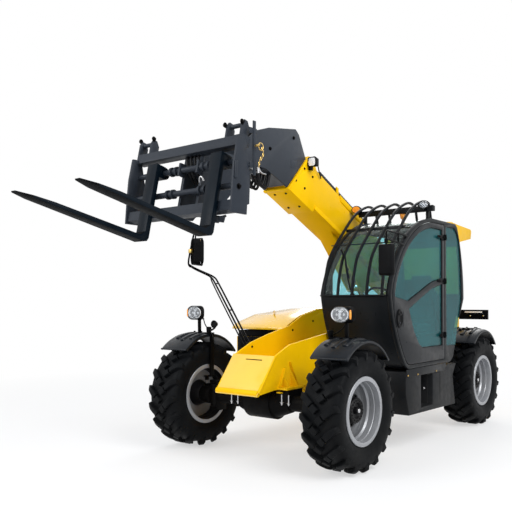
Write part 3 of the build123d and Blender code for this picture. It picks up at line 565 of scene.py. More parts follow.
def flatten_handle(obj):
    """Press the plain handle block of the door back into its panel; a dished handle goes there instead."""
    for vertex in obj.data.vertices:
        vertex.co.y = min(vertex.co.y, HANDLE_Y)


SHAPED_FIRST = {"hood_lid_shell": raise_visor, "door_frame": flatten_handle}


def rounded(node, name, material, width, segments=2, angle=30):
    """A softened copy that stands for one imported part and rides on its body."""
    obj = merged_copy(node, name)
    if name in SHAPED_FIRST:
        SHAPED_FIRST[name](obj)
    obj.data.materials.append(material)
    soften(obj, width, segments, angle)
    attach(obj, BODY_OF[node])
    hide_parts(node)
    return obj


ROUNDED = [
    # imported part, piece name, finish, bevel width
    ("chassis_frame", "side_plates", YELLOW, 0.007),
    # The nose cover takes the paler yellow with painted sheen.
    ("nose_plate", "nose_cover", NOSE_YELLOW_PAINTED_SHEEN, 0.010),
    ("rear_tower", "tower_covers", YELLOW, 0.006),
    ("counterweight", "cast_counterweight", YELLOW, 0.018),
    ("rear_lamp_bar", "lamp_bar", BLACK_PAINT, 0.005),
    ("engine_bay", "bay_walls", YELLOW, 0.005),
    ("engine_hood", "hood_lid_shell", HOOD_YELLOW, 0.022),
    ("step_box", "step_tank", DARK_GREY, 0.014),
    ("cab_side_frame", "cab_left_frame", CAB_GREY, 0.008),
    ("cab_inner_wall", "cab_right_wall", CAB_GREY, 0.006),
    ("cab_floor", "cab_floor_pan", CAB_GREY, 0.003),
    ("cab_front_panel", "cab_front_lower", CAB_GREY, 0.004),
    ("cab_roof", "cab_roof_shell", CAB_GREY, 0.006),
    ("cab_rear_panel", "cab_rear_shell", CAB_GREY, 0.004),
    ("door_panel", "door_frame", DOOR_GREY, 0.007),
    ("boom_base", "boom_base_section", YELLOW, 0.010),
    ("boom_inner", "boom_inner_section", YELLOW, 0.008),
    ("boom_head", "boom_head_plates", HEAD_GREY, 0.006),
    ("carriage", "carriage_frame", CHARCOAL, 0.005),
    ("fork_left", "left_fork", FORK_STEEL, 0.006),
    ("fork_right", "right_fork", FORK_STEEL, 0.006),
    ("console", "dash_console", BLACK_PLASTIC, 0.010),
    ("seat_base", "seat_frame", BLACK_PAINT, 0.006),
    ("front_axle", "front_axle_casting", AXLE_PAINT, 0.008),
    ("rear_axle", "rear_axle_casting", AXLE_PAINT, 0.008),
    ("knuckle_fl", "hub_carrier_fl", AXLE_PAINT, 0.006),
    ("knuckle_fr", "hub_carrier_fr", AXLE_PAINT, 0.006),
    ("knuckle_rl", "hub_carrier_rl", AXLE_PAINT, 0.006),
    ("knuckle_rr", "hub_carrier_rr", AXLE_PAINT, 0.006),
    ("lift_barrel", "lift_cylinder_barrel", BLACK_PAINT, 0.004),
    ("lift_rod", "lift_cylinder_rod", CHROME, 0.003),
    ("engine_block", "engine_casting", CAST_IRON, 0.020),
]
for node, name, material, width in ROUNDED:
    piece = rounded(node, name, material, width)
    print(name, len(piece.data.polygons), "faces")

# %% Polished shanks on the forks
FORK_LEAN = math.radians(12)  # the carriage leans back by this much at rest
FORK_HEEL = (1.353, 2.155)  # where blade and shank meet, x and z
SHANK_START = 0.09  # bare steel begins this far up the shank
BLADE_ROOM = 0.12  # nothing ahead of the heel by more than this is shank
for name in ("left_fork", "right_fork"):
    fork = bpy.data.objects[name]
    fork.data.materials.append(SHANK_STEEL)
    for face in fork.data.polygons:
        x, z = face.center.x - FRONT_X, face.center.z
        along = (FORK_HEEL[0] - x) * math.sin(FORK_LEAN) + (z - FORK_HEEL[1]) * math.cos(FORK_LEAN)
        if along > SHANK_START and x < FORK_HEEL[0] + BLADE_ROOM:
            face.material_index = 1
    print(name, sum(face.material_index for face in fork.data.polygons), "polished faces")

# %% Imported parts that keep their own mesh
for node, material in (
    ("boom_pivot_pin", BRIGHT_STEEL),
    ("lift_pin", BRIGHT_STEEL),
    ("tilt_pin", BRIGHT_STEEL),
    ("door_glass", CAB_GLASS),
):
    part = frame["nodes"][node]
    part.data.materials.clear()
    part.data.materials.append(material)
    print(node, "finished with", material.name)

# %% [markdown]
# The windscreen is nearly clear so that the driver sees the forks, the door and quarter panes are deep
# green, and the far panes let more light in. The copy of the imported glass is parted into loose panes, and
# each pane gets its own tint by where it stands.

# %% Cab panes
panes = merged_copy("cab_glass", "cab_panes")
only(panes)
bpy.ops.mesh.separate(type="LOOSE")
PANE_KINDS = {"windscreen_glass": [], "quarter_glass": [], "far_glass": []}
for pane in list(bpy.context.selected_objects):
    front = max(v.co.x for v in pane.data.vertices) - FRONT_X
    outer = min(v.co.y for v in pane.data.vertices)
    kind = "quarter_glass" if outer > 1.0 else "windscreen_glass" if front > -0.7 else "far_glass"
    PANE_KINDS[kind].append(pane)
for name, tint in (
    ("windscreen_glass", SCREEN_GLASS), ("quarter_glass", CAB_GLASS), ("far_glass", FAR_GLASS)
):
    print(name, len(PANE_KINDS[name]), "panes")
    pane = join(name, PANE_KINDS[name])
    pane.data.materials.append(tint)
    smooth(pane, 30)
    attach(pane, "chassis")
    if name == "windscreen_glass":
        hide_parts("cab_glass")

# %% [markdown]
# ## Shapes that are spun, cut from plate, or bent from pipe
# Three ways of making cover most of the machine. A turned part is a closed outline spun round an axis, as
# on a lathe. A plate is a flat outline pushed to a thickness. A pipe is a curve with a round section,
# turned into a mesh at the end. Each helper starts from a primitive, moves its corners to the outline,
# and does the rest in edit mode.

# %% Helpers for making
def tidy_faces(obj):
    """Merge doubles and turn every face outwards."""
    with editing(obj):
        bpy.ops.mesh.remove_doubles(threshold=0.00002)
        bpy.ops.mesh.normals_make_consistent(inside=False)
    return obj


def cube(name, size=(1, 1, 1), centre=(0, 0, 0)):
    """A plain block to start from."""
    deselect()
    bpy.ops.mesh.primitive_cube_add(size=1, location=centre)
    block = bpy.context.object
    block.name = name
    block.scale = size
    return settle(block)


def select_lengthwise(obj, longer):
    """Select just the edges that run along x for more than a length."""
    for edge in obj.data.edges:
        a, b = (obj.data.vertices[i].co for i in edge.vertices)
        edge.select = abs(a.x - b.x) > longer


def around(count, place):
    """Points round a closed loop: place(cosine, sine) gives each one."""
    turns = [2 * math.pi * i / count for i in range(count + 1)]
    return [place(math.cos(turn), math.sin(turn)) for turn in turns]


def outline_of(name, points, filled):
    """A ring of corners at the given places."""
    deselect()
    bpy.ops.mesh.primitive_circle_add(vertices=len(points), fill_type="NGON" if filled else "NOTHING")
    obj = bpy.context.object
    obj.name = name
    for vertex, point in zip(obj.data.vertices, points):
        vertex.co = point
    return obj


def spun(name, profile, steps=64, centre=(0, 0, 0), axis=(0, 1, 0)):
    """A turned part. The profile lists (place along the axis, radius) round a closed outline."""
    axis = Vector(axis).normalized()
    side = axis.orthogonal().normalized()
    centre = Vector(centre)
    obj = outline_of(name, [centre + axis * a + side * r for a, r in profile], False)
    with editing(obj):
        bpy.ops.mesh.spin(steps=steps, angle=2 * math.pi, center=centre, axis=axis)
    return tidy_faces(obj)


def plate(name, points, push):
    """A flat outline pushed along a vector to its thickness."""
    obj = outline_of(name, points, True)
    with editing(obj):
        bpy.ops.mesh.extrude_region_move(TRANSFORM_OT_translate={"value": tuple(push)})
    return tidy_faces(obj)


def pipe(name, points, radius, smooth_line=True, sides=3):
    """A bent pipe or hose through the points."""
    data = bpy.data.curves.new(name, "CURVE")
    data.dimensions = "3D"
    data.bevel_depth = radius
    data.bevel_resolution = sides
    data.use_fill_caps = True
    line = data.splines.new("NURBS" if smooth_line else "POLY")
    line.points.add(len(points) - 1)
    for point, place in zip(line.points, points):
        point.co = (*place, 1)
    if smooth_line:
        line.order_u = 3
        line.use_endpoint_u = True
        line.resolution_u = 6
    obj = bpy.data.objects.new(name, data)
    bpy.context.scene.collection.objects.link(obj)
    only(obj)
    bpy.ops.object.convert(target="MESH")
    return tidy_faces(bpy.context.object)


def copied(obj, name):
    """Another one with its own mesh."""
    twin = obj.copy()
    twin.data = obj.data.copy()
    twin.name = name
    bpy.context.scene.collection.objects.link(twin)
    return twin


def moved(obj, by):
    """Shift a piece in its mesh."""
    obj.data.transform(Matrix.Translation(Vector(by)))
    return obj


def rotated(obj, degrees, axis, about=(0, 0, 0)):
    """Turn a piece in its mesh."""
    about = Vector(about)
    turn = Matrix.Translation(about) @ Matrix.Rotation(
        math.radians(degrees), 4, Vector(axis)
    ) @ Matrix.Translation(-about)
    obj.data.transform(turn)
    return obj


def mirrored_y(obj, name):
    """A twin on the other side of the machine, with its faces turned outwards again."""
    twin = copied(obj, name)
    twin.data.transform(Matrix.Scale(-1, 4, Vector((0, 1, 0))))
    with editing(twin):
        bpy.ops.mesh.flip_normals()
    return twin


def finish_with(obj, material):
    """Give a piece one finish."""
    obj.data.materials.clear()
    obj.data.materials.append(material)
    return obj


def fit(obj, body, slot_name, *nodes):
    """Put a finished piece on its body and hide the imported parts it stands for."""
    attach(obj, body)
    if nodes:
        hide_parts(*nodes)
    return obj


def put(obj, material, body, slot_name, *nodes):
    """Finish a piece and put it on its body."""
    return fit(finish_with(obj, material), body, slot_name, *nodes)


def slab(name, points, push, edge, *how):
    """A plate with rounded edges."""
    return soften(plate(name, points, push), edge, *how)


def sheet(axis, name, outline, level, thick, *edge):
    """A plate on the plane where one axis (0, 1 or 2) is at a level: its outline gives the other two."""
    push = [0, 0, 0]
    push[axis] = thick
    obj = plate(name, [at(*p[:axis], level, *p[axis:]) for p in outline], push)
    return soften(obj, *edge) if edge else obj


def tube(name, points, *how):
    """A pipe through points measured from the front axle."""
    return pipe(name, [at(*p) for p in points], *how)


def hex_bolt(name, size, place=(0, 0, 0), direction=(0, 1, 0)):
    """A hexagon head on a washer, standing on a surface; size is the width of the head."""
    deselect()
    bpy.ops.mesh.primitive_cylinder_add(
        vertices=6, radius=size * 0.56, depth=size * 0.55, location=(0, 0, size * 0.36)
    )
    head = bpy.context.object
    settle(head)
    with editing(head):
        bpy.ops.mesh.bevel(offset=size * 0.06, segments=1, affect="EDGES")
    washer = spun("washer", [
        (0, size * 0.2), (0, size * 0.85), (size * 0.1, size * 0.85), (size * 0.1, size * 0.2)
    ], 12, axis=(0, 0, 1))
    bolt = join(name, [head, washer])
    turn = Vector((0, 0, 1)).rotation_difference(Vector(direction)).to_matrix().to_4x4()
    bolt.data.transform(Matrix.Translation(Vector(place)) @ turn)
    return bolt


print("making helpers ready")

# %% [markdown]
# ## Tyres
# The real tyre has a smooth carcass with a rounded shoulder, and bars of rubber that lean forward from
# each shoulder to the middle, with a small block at the inner end of each bar. The carcass is spun. One
# bar and one block are shaped flat, rolled onto the tread by turning length into angle, then copied round
# the wheel. The middle of each V touches the ground first, which is how a drive tyre is fitted.

# %% Carcass
TREAD_R = TYRE_R - 0.04
half_round = [(0.163, 0.3), (0.163, 0.331), (0.178, 0.352), (0.192, 0.385), (0.2, 0.43), (0.1985, 0.475),
              (0.19, 0.508), (0.17, 0.526), (0.12, TREAD_R - 0.003), (0.06, TREAD_R)]
carcass_profile = half_round + [(-y, r) for y, r in reversed(half_round)]
carcass = smooth(spun("carcass", carcass_profile, 96), 45)
print("carcass faces", len(carcass.data.polygons))


# %% Tread bars
def rolled_bar(name, path, width, foot, crown):
    """A rubber bar along (across, along) points, rolled onto the tread from foot to crown radius."""
    count = len(path)
    bar = cube(name)
    bpy.ops.object.mode_set(mode="EDIT")
    bpy.ops.mesh.select_all(action="DESELECT")
    bpy.ops.object.mode_set(mode="OBJECT")
    select_lengthwise(bar, 0.5)
    bpy.ops.object.mode_set(mode="EDIT")
    bpy.ops.mesh.select_mode(type="EDGE")
    bpy.ops.mesh.subdivide(number_cuts=count - 2)
    bpy.ops.mesh.select_mode(type="VERT")
    bpy.ops.object.mode_set(mode="OBJECT")
    for vertex in bar.data.vertices:
        step = round((vertex.co.x + 0.5) * (count - 1))
        here = Vector(path[step])
        before = Vector(path[max(step - 1, 0)])
        after = Vector(path[min(step + 1, count - 1)])
        run = (after - before).normalized()
        sideways = Vector((-run.y, run.x))
        top = vertex.co.z > 0
        spread = width * (0.5 if top else 0.68) * (1 if vertex.co.y > 0 else -1)
        across, along = here + sideways * spread
        edge_drop = 0.03 * max(0.0, (abs(across) - 0.125) / 0.07) ** 2
        radius = (crown - edge_drop) if top else foot - 1.3 * edge_drop
        angle = along / TYRE_R
        vertex.co = Vector((radius * math.cos(angle), across, radius * math.sin(angle)))
    tidy_faces(bar)
    return soften(bar, 0.005, 1, 40)


CROWN_R = TYRE_R + 0.002
bars = []
for side, start in ((1, 0.0), (-1, 0.5)):
    pitch = 2 * math.pi * TYRE_R / 18
    shift = start * pitch
    long_bar = [(0.197, 0.1), (0.18, 0.096), (0.15, 0.08), (0.105, 0.044), (0.068, 0.01)]
    inner_block = [(0.06, 0.002), (0.03, -0.024), (0.004, -0.048)]
    lug = rolled_bar("lug", [(side * a, shift + b) for a, b in long_bar], 0.058, TREAD_R - 0.012, CROWN_R)
    block = rolled_bar("block", [
        (side * a, shift + b) for a, b in inner_block
    ], 0.06, TREAD_R - 0.012, CROWN_R)
    bars += [lug, block]
pattern = join("tread_pattern", bars)
copies = [pattern]
for i in range(1, 18):
    copies.append(rotated(copied(pattern, "tread_copy"), i * 20, (0, 1, 0)))
tyre = join("tyre_master", [carcass] + copies)
finish_with(tyre, RUBBER)
low = min(v.co.z for v in tyre.data.vertices)
print("tyre faces", len(tyre.data.polygons), "lowest", round(low, 4))

# %% [markdown]
# ## Rims and hubs
# The rim is a deep steel dish with a thick rolled lip and two steps in its well. In its middle sits the
# black hub with a ring of studs and a small bright cap. All of them are spun from outlines; the studs are
# one bolt copied in a circle.

# %% Rim
rim_profile = [
    (0.176, 0.286), (0.176, 0.325), (0.168, 0.33), (0.16, 0.322), (0.158, 0.303), (0.06, 0.297), (0.04, 0.28),
    (-0.09, 0.28), (-0.11, 0.297), (-0.158, 0.303), (-0.16, 0.322), (-0.168, 0.33), (-0.176, 0.325),
    (-0.176, 0.286), (-0.11, 0.282), (-0.09, 0.266), (-0.032, 0.266), (-0.03, 0.11), (-0.016, 0.11),
    (-0.012, 0.215), (0.002, 0.232), (0.004, 0.258), (0.04, 0.266), (0.058, 0.28), (0.11, 0.281),
    (0.114, 0.286)
]
rim = soften(spun("rim_master", rim_profile, 72), 0.0025, 2, 25)
finish_with(rim, RIM_SILVER)
# Slot 1, black: painted shade on the rim's inner barrel, the side that faces the machine.
rim.data.materials.append(HUB_BLACK_AND_RIM_SHADE)
# Slot 2, the darker disc grey: painted shade on the disc inside the well.
rim.data.materials.append(RIM_DISC_PAINTED_SHADE)
# Faces between the inner lip and the disc take the black, as painted shade; faces of the disc within the well
# take the darker grey, also painted shade; both lips stay silver.
for face in rim.data.polygons:
    y = face.center.y
    away = math.hypot(face.center.x, face.center.z)
    if -0.157 < y < -0.033:
        face.material_index = 1
    elif y < 0.045 and away < 0.262:
        face.material_index = 2

# %% Hub
hub_profile = [
    (-0.13, 0.002), (-0.13, 0.108), (-0.06, 0.13), (-0.01, 0.158), (0.02, 0.158), (0.026, 0.152),
    (0.026, 0.128), (0.08, 0.122), (0.088, 0.114), (0.088, 0.078), (0.064, 0.07), (0.062, 0.034),
    (0.098, 0.03), (0.106, 0.02), (0.106, 0.002)
]
hub = soften(spun("hub_master", hub_profile, 48), 0.002, 2, 25)
finish_with(hub, HUB_BLACK_AND_RIM_SHADE)
studs = []
for i in range(12):
    turn = 2 * math.pi * i / 12
    spot = (0.14 * math.cos(turn), 0.026, 0.14 * math.sin(turn))
    studs.append(hex_bolt("stud", 0.024, spot))
for i in range(18):
    turn = 2 * math.pi * i / 18
    studs.append(hex_bolt("planet_bolt", 0.014, (0.096 * math.cos(turn), 0.087, 0.096 * math.sin(turn))))
hub_studs = finish_with(join("hub_studs", studs), HUB_BLACK_AND_RIM_SHADE)
cap = soften(spun("hub_cap", [
    (0.104, 0.001), (0.104, 0.022), (0.112, 0.02), (0.117, 0.011), (0.118, 0.001)
], 24), 0.001)
finish_with(cap, BRIGHT_STEEL)
print("rim faces", len(rim.data.polygons), "hub faces", len(hub.data.polygons))

# %% Place the wheels
AXLES = {
    "fl": (FRONT_X, 1), "fr": (FRONT_X, -1), "rl": (FRONT_X - WHEELBASE, 1), "rr": (FRONT_X - WHEELBASE, -1)
}
for corner, (axle_x, side) in AXLES.items():
    for master, kind, slot_name, nodes in (
        (tyre, "tyre", "tyre_rubber", [f"tyre_{corner}"]),
        (rim, "rim", "rim_paint", [f"rim_{corner}"]),
        (hub, "hub", "dark_paint", []),
        (hub_studs, "hub_studs", "dark_paint", []),
        (cap, "hub_cap", "bright_steel", []),
    ):
        name = f"{kind}_wheel_{corner}"
        twin = copied(master, name) if side > 0 else mirrored_y(master, name)
        moved(twin, (axle_x, side * HUB_Y, AXLE_Z))
        smooth(twin, 40)
        fit(twin, f"wheel_{corner}", slot_name, *nodes)
for master in (tyre, rim, hub, hub_studs, cap):
    bpy.data.objects.remove(master)
print("wheels placed")

# %% [markdown]
# ## Fenders
# Each fender is a moulded arch with a rolled rim, three shallow ribs along it and two raised pads across
# the top. The arch is a strip of plate spun a part turn about a centre below the wheel's top. Ribs are
# narrow strips spun at a slightly larger radius. The bracket is bent plate with a bolted foot.

# %% One fender
FENDER_TOP = AXLE_Z + TYRE_R + 0.085


def circle_through(a, b, c):
    """Centre and radius of the circle through three points of the side view."""
    ax, az, bx, bz, cx, cz = *a, *b, *c
    d = 2 * (ax * (bz - cz) + bx * (cz - az) + cx * (az - bz))
    ux = ((ax**2 + az**2) * (bz - cz) + (bx**2 + bz**2) * (cz - az) + (cx**2 + cz**2) * (az - bz)) / d
    uz = ((ax**2 + az**2) * (cx - bx) + (bx**2 + bz**2) * (ax - cx) + (cx**2 + cz**2) * (bx - ax)) / d
    return (ux, uz), math.hypot(ax - ux, az - uz)


(arch_x, arch_z), ARCH_R = circle_through(
    (0.36, AXLE_Z + 0.505), (-0.02, FENDER_TOP), (-0.43, AXLE_Z + 0.455)
)
FRONT_ANGLE = math.atan2(AXLE_Z + 0.505 - arch_z, 0.36 - arch_x)
REAR_ANGLE = math.atan2(AXLE_Z + 0.455 - arch_z, -0.43 - arch_x)


def arched(name, outline, start, end, steps):
    """An outline of (across, radius) spun from one angle to another over the wheel."""
    points = [(arch_x + r * math.cos(start), y, arch_z + r * math.sin(start)) for y, r in outline]
    obj = outline_of(name, points, True)
    with editing(obj):
        bpy.ops.mesh.spin(steps=steps, angle=end - start, center=(arch_x, 0, arch_z), axis=(0, 1, 0))
    return tidy_faces(obj)


FENDER_HALF = 0.2
arch = arched("arch", [
    (-FENDER_HALF, ARCH_R - 0.022), (-FENDER_HALF + 0.004, ARCH_R - 0.022),
    (-FENDER_HALF + 0.006, ARCH_R + 0.001), (FENDER_HALF - 0.03, ARCH_R + 0.001),
    (FENDER_HALF - 0.01, ARCH_R - 0.006), (FENDER_HALF - 0.004, ARCH_R - 0.022),
    (FENDER_HALF, ARCH_R - 0.022), (FENDER_HALF, ARCH_R - 0.002), (FENDER_HALF - 0.028, ARCH_R + 0.01),
    (-FENDER_HALF, ARCH_R + 0.01)
], FRONT_ANGLE, REAR_ANGLE, 28)
soften(arch, 0.002, 2, 40)
parts = [arch]
for y0, y1, near, far in ((-0.15, -0.09, 0.2, 0.5), (-0.045, 0.015, 0.16, 0.56), (0.06, 0.12, 0.2, 0.9)):
    parts.append(soften(arched(
        "rib",
        [
            (y0, ARCH_R + 0.008), (y1, ARCH_R + 0.008), (y1 - 0.014, ARCH_R + 0.024),
            (y0 + 0.014, ARCH_R + 0.024)
        ],
        FRONT_ANGLE + (REAR_ANGLE - FRONT_ANGLE) * near, FRONT_ANGLE + (REAR_ANGLE - FRONT_ANGLE) * far, 16
    ), 0.003, 2, 40))
for angle in (FRONT_ANGLE, REAR_ANGLE):
    edge = [(arch_x + (ARCH_R + 0.002) * math.cos(angle), y, arch_z + (ARCH_R + 0.002) * math.sin(angle))
            for y in (-FENDER_HALF + 0.004, FENDER_HALF - 0.006)]
    parts.append(pipe("end_roll", edge, 0.01, False))
fender = finish_with(join("fender_master", parts), FENDER_PLASTIC)
print("fender faces", len(fender.data.polygons))

# %% Fender bracket
STRUT_Y = -0.206
bracket = []
for x in (-0.05, 0.004):
    bracket.append(slab("strut", [
        (x, STRUT_Y, AXLE_Z + 0.19), (x, STRUT_Y - 0.014, AXLE_Z + 0.19),
        (x, STRUT_Y - 0.014, FENDER_TOP + 0.02), (x, STRUT_Y, FENDER_TOP + 0.02)
    ], (0.006 if x > 0 else 0.05, 0, 0), 0.0015))
bracket.append(slab("cross_bar", [
    (-0.055, STRUT_Y - 0.014, FENDER_TOP + 0.01), (0.015, STRUT_Y - 0.014, FENDER_TOP + 0.01),
    (0.015, 0.09, FENDER_TOP + 0.01), (-0.055, 0.09, FENDER_TOP + 0.01)
], (0, 0, 0.014), 0.002))
bracket.append(slab("foot", [
    (-0.045, -0.22, AXLE_Z + 0.19), (0.045, -0.22, AXLE_Z + 0.19), (0.045, -0.15, AXLE_Z + 0.19),
    (-0.045, -0.15, AXLE_Z + 0.19)
], (0, 0, 0.014), 0.002))
bracket.append(slab("leg", [
    (-0.025, -0.166, AXLE_Z + 0.15), (0.025, -0.166, AXLE_Z + 0.15), (0.025, -0.15, AXLE_Z + 0.15),
    (-0.025, -0.15, AXLE_Z + 0.15)
], (0, 0, 0.042), 0.002))
for y in (-0.17, -0.05, 0.06):
    bracket.append(hex_bolt("bracket_bolt", 0.02, (-0.02, y, FENDER_TOP + 0.024), (0, 0, 1)))
fender_bracket = finish_with(join("bracket_master", bracket), BLACK_PAINT)

for corner, (axle_x, side) in AXLES.items():
    for master, kind in ((fender, "fender_arch"), (fender_bracket, "fender_bracket")):
        name = f"{kind}_{corner}"
        placed = moved(copied(master, "placed"), (0, HUB_Y, 0))
        if side < 0:
            twin = mirrored_y(placed, name)
            bpy.data.objects.remove(placed)
        else:
            twin = placed
            twin.name = name
        moved(twin, (axle_x, 0, 0))
        smooth(twin, 40)
        fit(
            twin, f"knuckle_body_{corner}", "fender_plastic",
            *([f"fender_{corner}"] if kind == "fender_arch" else [])
        )
for master in (fender, fender_bracket):
    bpy.data.objects.remove(master)
print("fenders placed")
# %% [markdown]
# ## Headlamps
# Each headlamp is an oblong black shell that tapers to the back, with a chrome reflector behind a clear
# ribbed lens and a small amber part at its outer end. It stands on a short post with a bolted foot. The
# shell starts as a block whose corners are bevelled round; its front is inset and pushed in to hold the
# lens.

# %% Headlamp
def lens_block(name, centre, size, corner, inset, depth, taper=0.75):
    """A rounded lamp shell that opens towards +x, with its front face pushed in."""
    shell = cube(name, size, centre)
    front = centre[0] + size[0] / 2
    select_lengthwise(shell, 0.5 * size[0])
    for face in shell.data.polygons:
        face.select = False
    bpy.ops.object.mode_set(mode="EDIT")
    bpy.ops.mesh.select_mode(type="EDGE")
    bpy.ops.mesh.bevel(offset=corner, segments=4, affect="EDGES")
    bpy.ops.mesh.select_all(action="DESELECT")
    bpy.ops.mesh.select_mode(type="FACE")
    bpy.ops.object.mode_set(mode="OBJECT")
    for face in shell.data.polygons:
        face.select = face.normal.x > 0.9
    bpy.ops.object.mode_set(mode="EDIT")
    bpy.ops.mesh.inset(thickness=inset, depth=0)
    bpy.ops.mesh.inset(thickness=0.002, depth=-depth)
    bpy.ops.object.mode_set(mode="OBJECT")
    for vertex in shell.data.vertices:
        if vertex.co.x < front - size[0] * 0.6:
            vertex.co.y = centre[1] + (vertex.co.y - centre[1]) * taper
            vertex.co.z = centre[2] + (vertex.co.z - centre[2]) * taper
    return soften(shell, 0.003, 2, 40)


def oblong_lens(name, centre, width, height, bulge, corner=0.35):
    """A shallow dome of clear plastic facing +x: a grid whose rim is pulled to a rounded oblong."""
    deselect()
    bpy.ops.mesh.primitive_grid_add(x_subdivisions=12, y_subdivisions=10, size=2)
    lens = bpy.context.object
    lens.name = name
    for vertex in lens.data.vertices:
        u, v = vertex.co.x, vertex.co.y
        squeeze = 1 - corner * 0.5 * (u * u * v * v)
        vertex.co = (
            bulge * (1 - max(abs(u), abs(v)) ** 2.2), u * squeeze * width / 2, v * squeeze * height / 2
        )
    rim = lens.modifiers.new("thick", "SOLIDIFY")
    rim.thickness = 0.004
    apply_all(lens)
    moved(lens, centre)
    return smooth(tidy_faces(lens), 50)


lamp_x, lamp_y, lamp_z = 0.045, 0.985, 1.48
shell = lens_block("shell", (lamp_x, lamp_y, lamp_z), (0.1, 0.246, 0.16), 0.056, 0.006, 0.016)
finish_with(shell, BLACK_PLASTIC)
# The reflectors take the pale glowing finish, a painted reflection of the white that the chrome gives back;
# the amber part has a faint painted glow.
bowl_left = spun("bowl", [
    (0.000, 0.002), (0.000, 0.036), (0.024, 0.056), (0.027, 0.054), (0.008, 0.034), (0.004, 0.016),
    (0.012, 0.012), (0.012, 0.002)
], 28, (lamp_x + 0.022, lamp_y + 0.022, lamp_z), (1, 0, 0))
bowl_right = moved(copied(bowl_left, "bowl"), (0, -0.082, 0))
reflectors = finish_with(smooth(join("reflectors", [bowl_left, bowl_right]), 60), LENS_PAINTED_REFLECTION)
clear = finish_with(oblong_lens("clear", (
    lamp_x + 0.044, lamp_y - 0.014, lamp_z
), 0.2, 0.146, 0.016, 0.6), LENS_CLEAR)
amber = finish_with(oblong_lens("amber", (
    lamp_x + 0.04, lamp_y + 0.096, lamp_z
), 0.024, 0.09, 0.008), LENS_AMBER)
post_parts = [
    slab("post", [
        (lamp_x - 0.07, lamp_y - 0.015, FENDER_TOP + 0.024),
        (lamp_x - 0.04, lamp_y - 0.015, FENDER_TOP + 0.024), (lamp_x - 0.036, lamp_y - 0.015, lamp_z - 0.06),
        (lamp_x - 0.066, lamp_y - 0.015, lamp_z - 0.06)
    ], (0, 0.03, 0), 0.003),
    slab("yoke", [
        (lamp_x - 0.07, lamp_y - 0.062, lamp_z - 0.074), (lamp_x - 0.014, lamp_y - 0.062, lamp_z - 0.074),
        (lamp_x - 0.014, lamp_y + 0.062, lamp_z - 0.074), (lamp_x - 0.07, lamp_y + 0.062, lamp_z - 0.074)
    ], (0, 0, 0.012), 0.003),
    hex_bolt("yoke_bolt", 0.018, (lamp_x - 0.052, lamp_y, lamp_z - 0.062), (0, 0, 1)),
    soften(spun(
        "turn_lamp", [(0, 0.001), (0, 0.026), (0.058, 0.03), (0.064, 0.024), (0.064, 0.001)], 20,
        (lamp_x - 0.03, lamp_y - 0.17, FENDER_TOP + 0.026), (0, 0, 1)
    ), 0.002),
    pipe("lamp_lead", [
        (lamp_x - 0.05, lamp_y, lamp_z - 0.02), (lamp_x - 0.09, lamp_y - 0.02, lamp_z - 0.04),
        (lamp_x - 0.085, lamp_y - 0.05, lamp_z - 0.13), (lamp_x - 0.06, lamp_y - 0.13, FENDER_TOP + 0.06),
        (lamp_x - 0.05, lamp_y - 0.2, FENDER_TOP + 0.02), (lamp_x - 0.045, lamp_y - 0.225, FENDER_TOP - 0.06)
    ], 0.006),
]
post = finish_with(join("lamp_post", post_parts), BLACK_PAINT)
for master in (shell, reflectors, clear, amber, post):
    moved(master, (FRONT_X, 0, 0))
HEADLAMP_SETS = ((shell, "headlamp_shell"), (reflectors, "headlamp_reflectors"), (clear, "headlamp_lens"),
                 (amber, "headlamp_turn_lens"), (post, "headlamp_post"))
for master, name in HEADLAMP_SETS:
    other = mirrored_y(master, f"{name}_right")
    smooth(other, 45)
    fit(other, "knuckle_body_fr", "trim_plastic", *(["headlamp_fr"] if name == "headlamp_shell" else []))
    master.name = f"{name}_left"
    fit(master, "knuckle_body_fl", "trim_plastic", *(["headlamp_fl"] if name == "headlamp_shell" else []))
print("headlamps at", [round(c, 3) for c in at(lamp_x, lamp_y, lamp_z)])

# %% [markdown]
# ## Guard over the windscreen
# Five flat steel bars stand off the windscreen, rise over the roof and come down behind a cross beam.
# Each bar is a ribbon cut to the side view and pushed to its width, with rounded edges. A thin rod ties
# them half way up. The beam stands on two feet and carries a work lamp at each end.

# %% Bars and beam
BAR_LINE = [
    (-0.517, 1.67), (-0.54, 1.825), (-0.572, 1.938), (-0.622, 2.08), (-0.765, 2.25), (-0.935, 2.415),
    (-1.105, 2.575), (-1.265, 2.68), (-1.416, 2.742), (-1.511, 2.765), (-1.62, 2.755), (-1.7, 2.69),
    (-1.735, 2.562)
]


def rounded_line(line, rounds=2):
    """Cut the corners of a line a few times, as a bar bent in a press."""
    for _ in range(rounds):
        cut = [line[0]]
        for (x0, z0), (x1, z1) in zip(line, line[1:]):
            cut += [
                (0.75 * x0 + 0.25 * x1, 0.75 * z0 + 0.25 * z1), (0.25 * x0 + 0.75 * x1, 0.25 * z0 + 0.75 * z1)
            ]
        line = cut + [line[-1]]
    return line


def ribbon(line, thick):
    """The outline of a strip of even thickness along a line in the side view."""
    inner = []
    for i, (x, z) in enumerate(line):
        x0, z0 = line[max(i - 1, 0)]
        x1, z1 = line[min(i + 1, len(line) - 1)]
        run = math.hypot(x1 - x0, z1 - z0)
        inner.append((x - (z1 - z0) / run * thick, z + (x1 - x0) / run * thick))
    return line + inner[::-1]


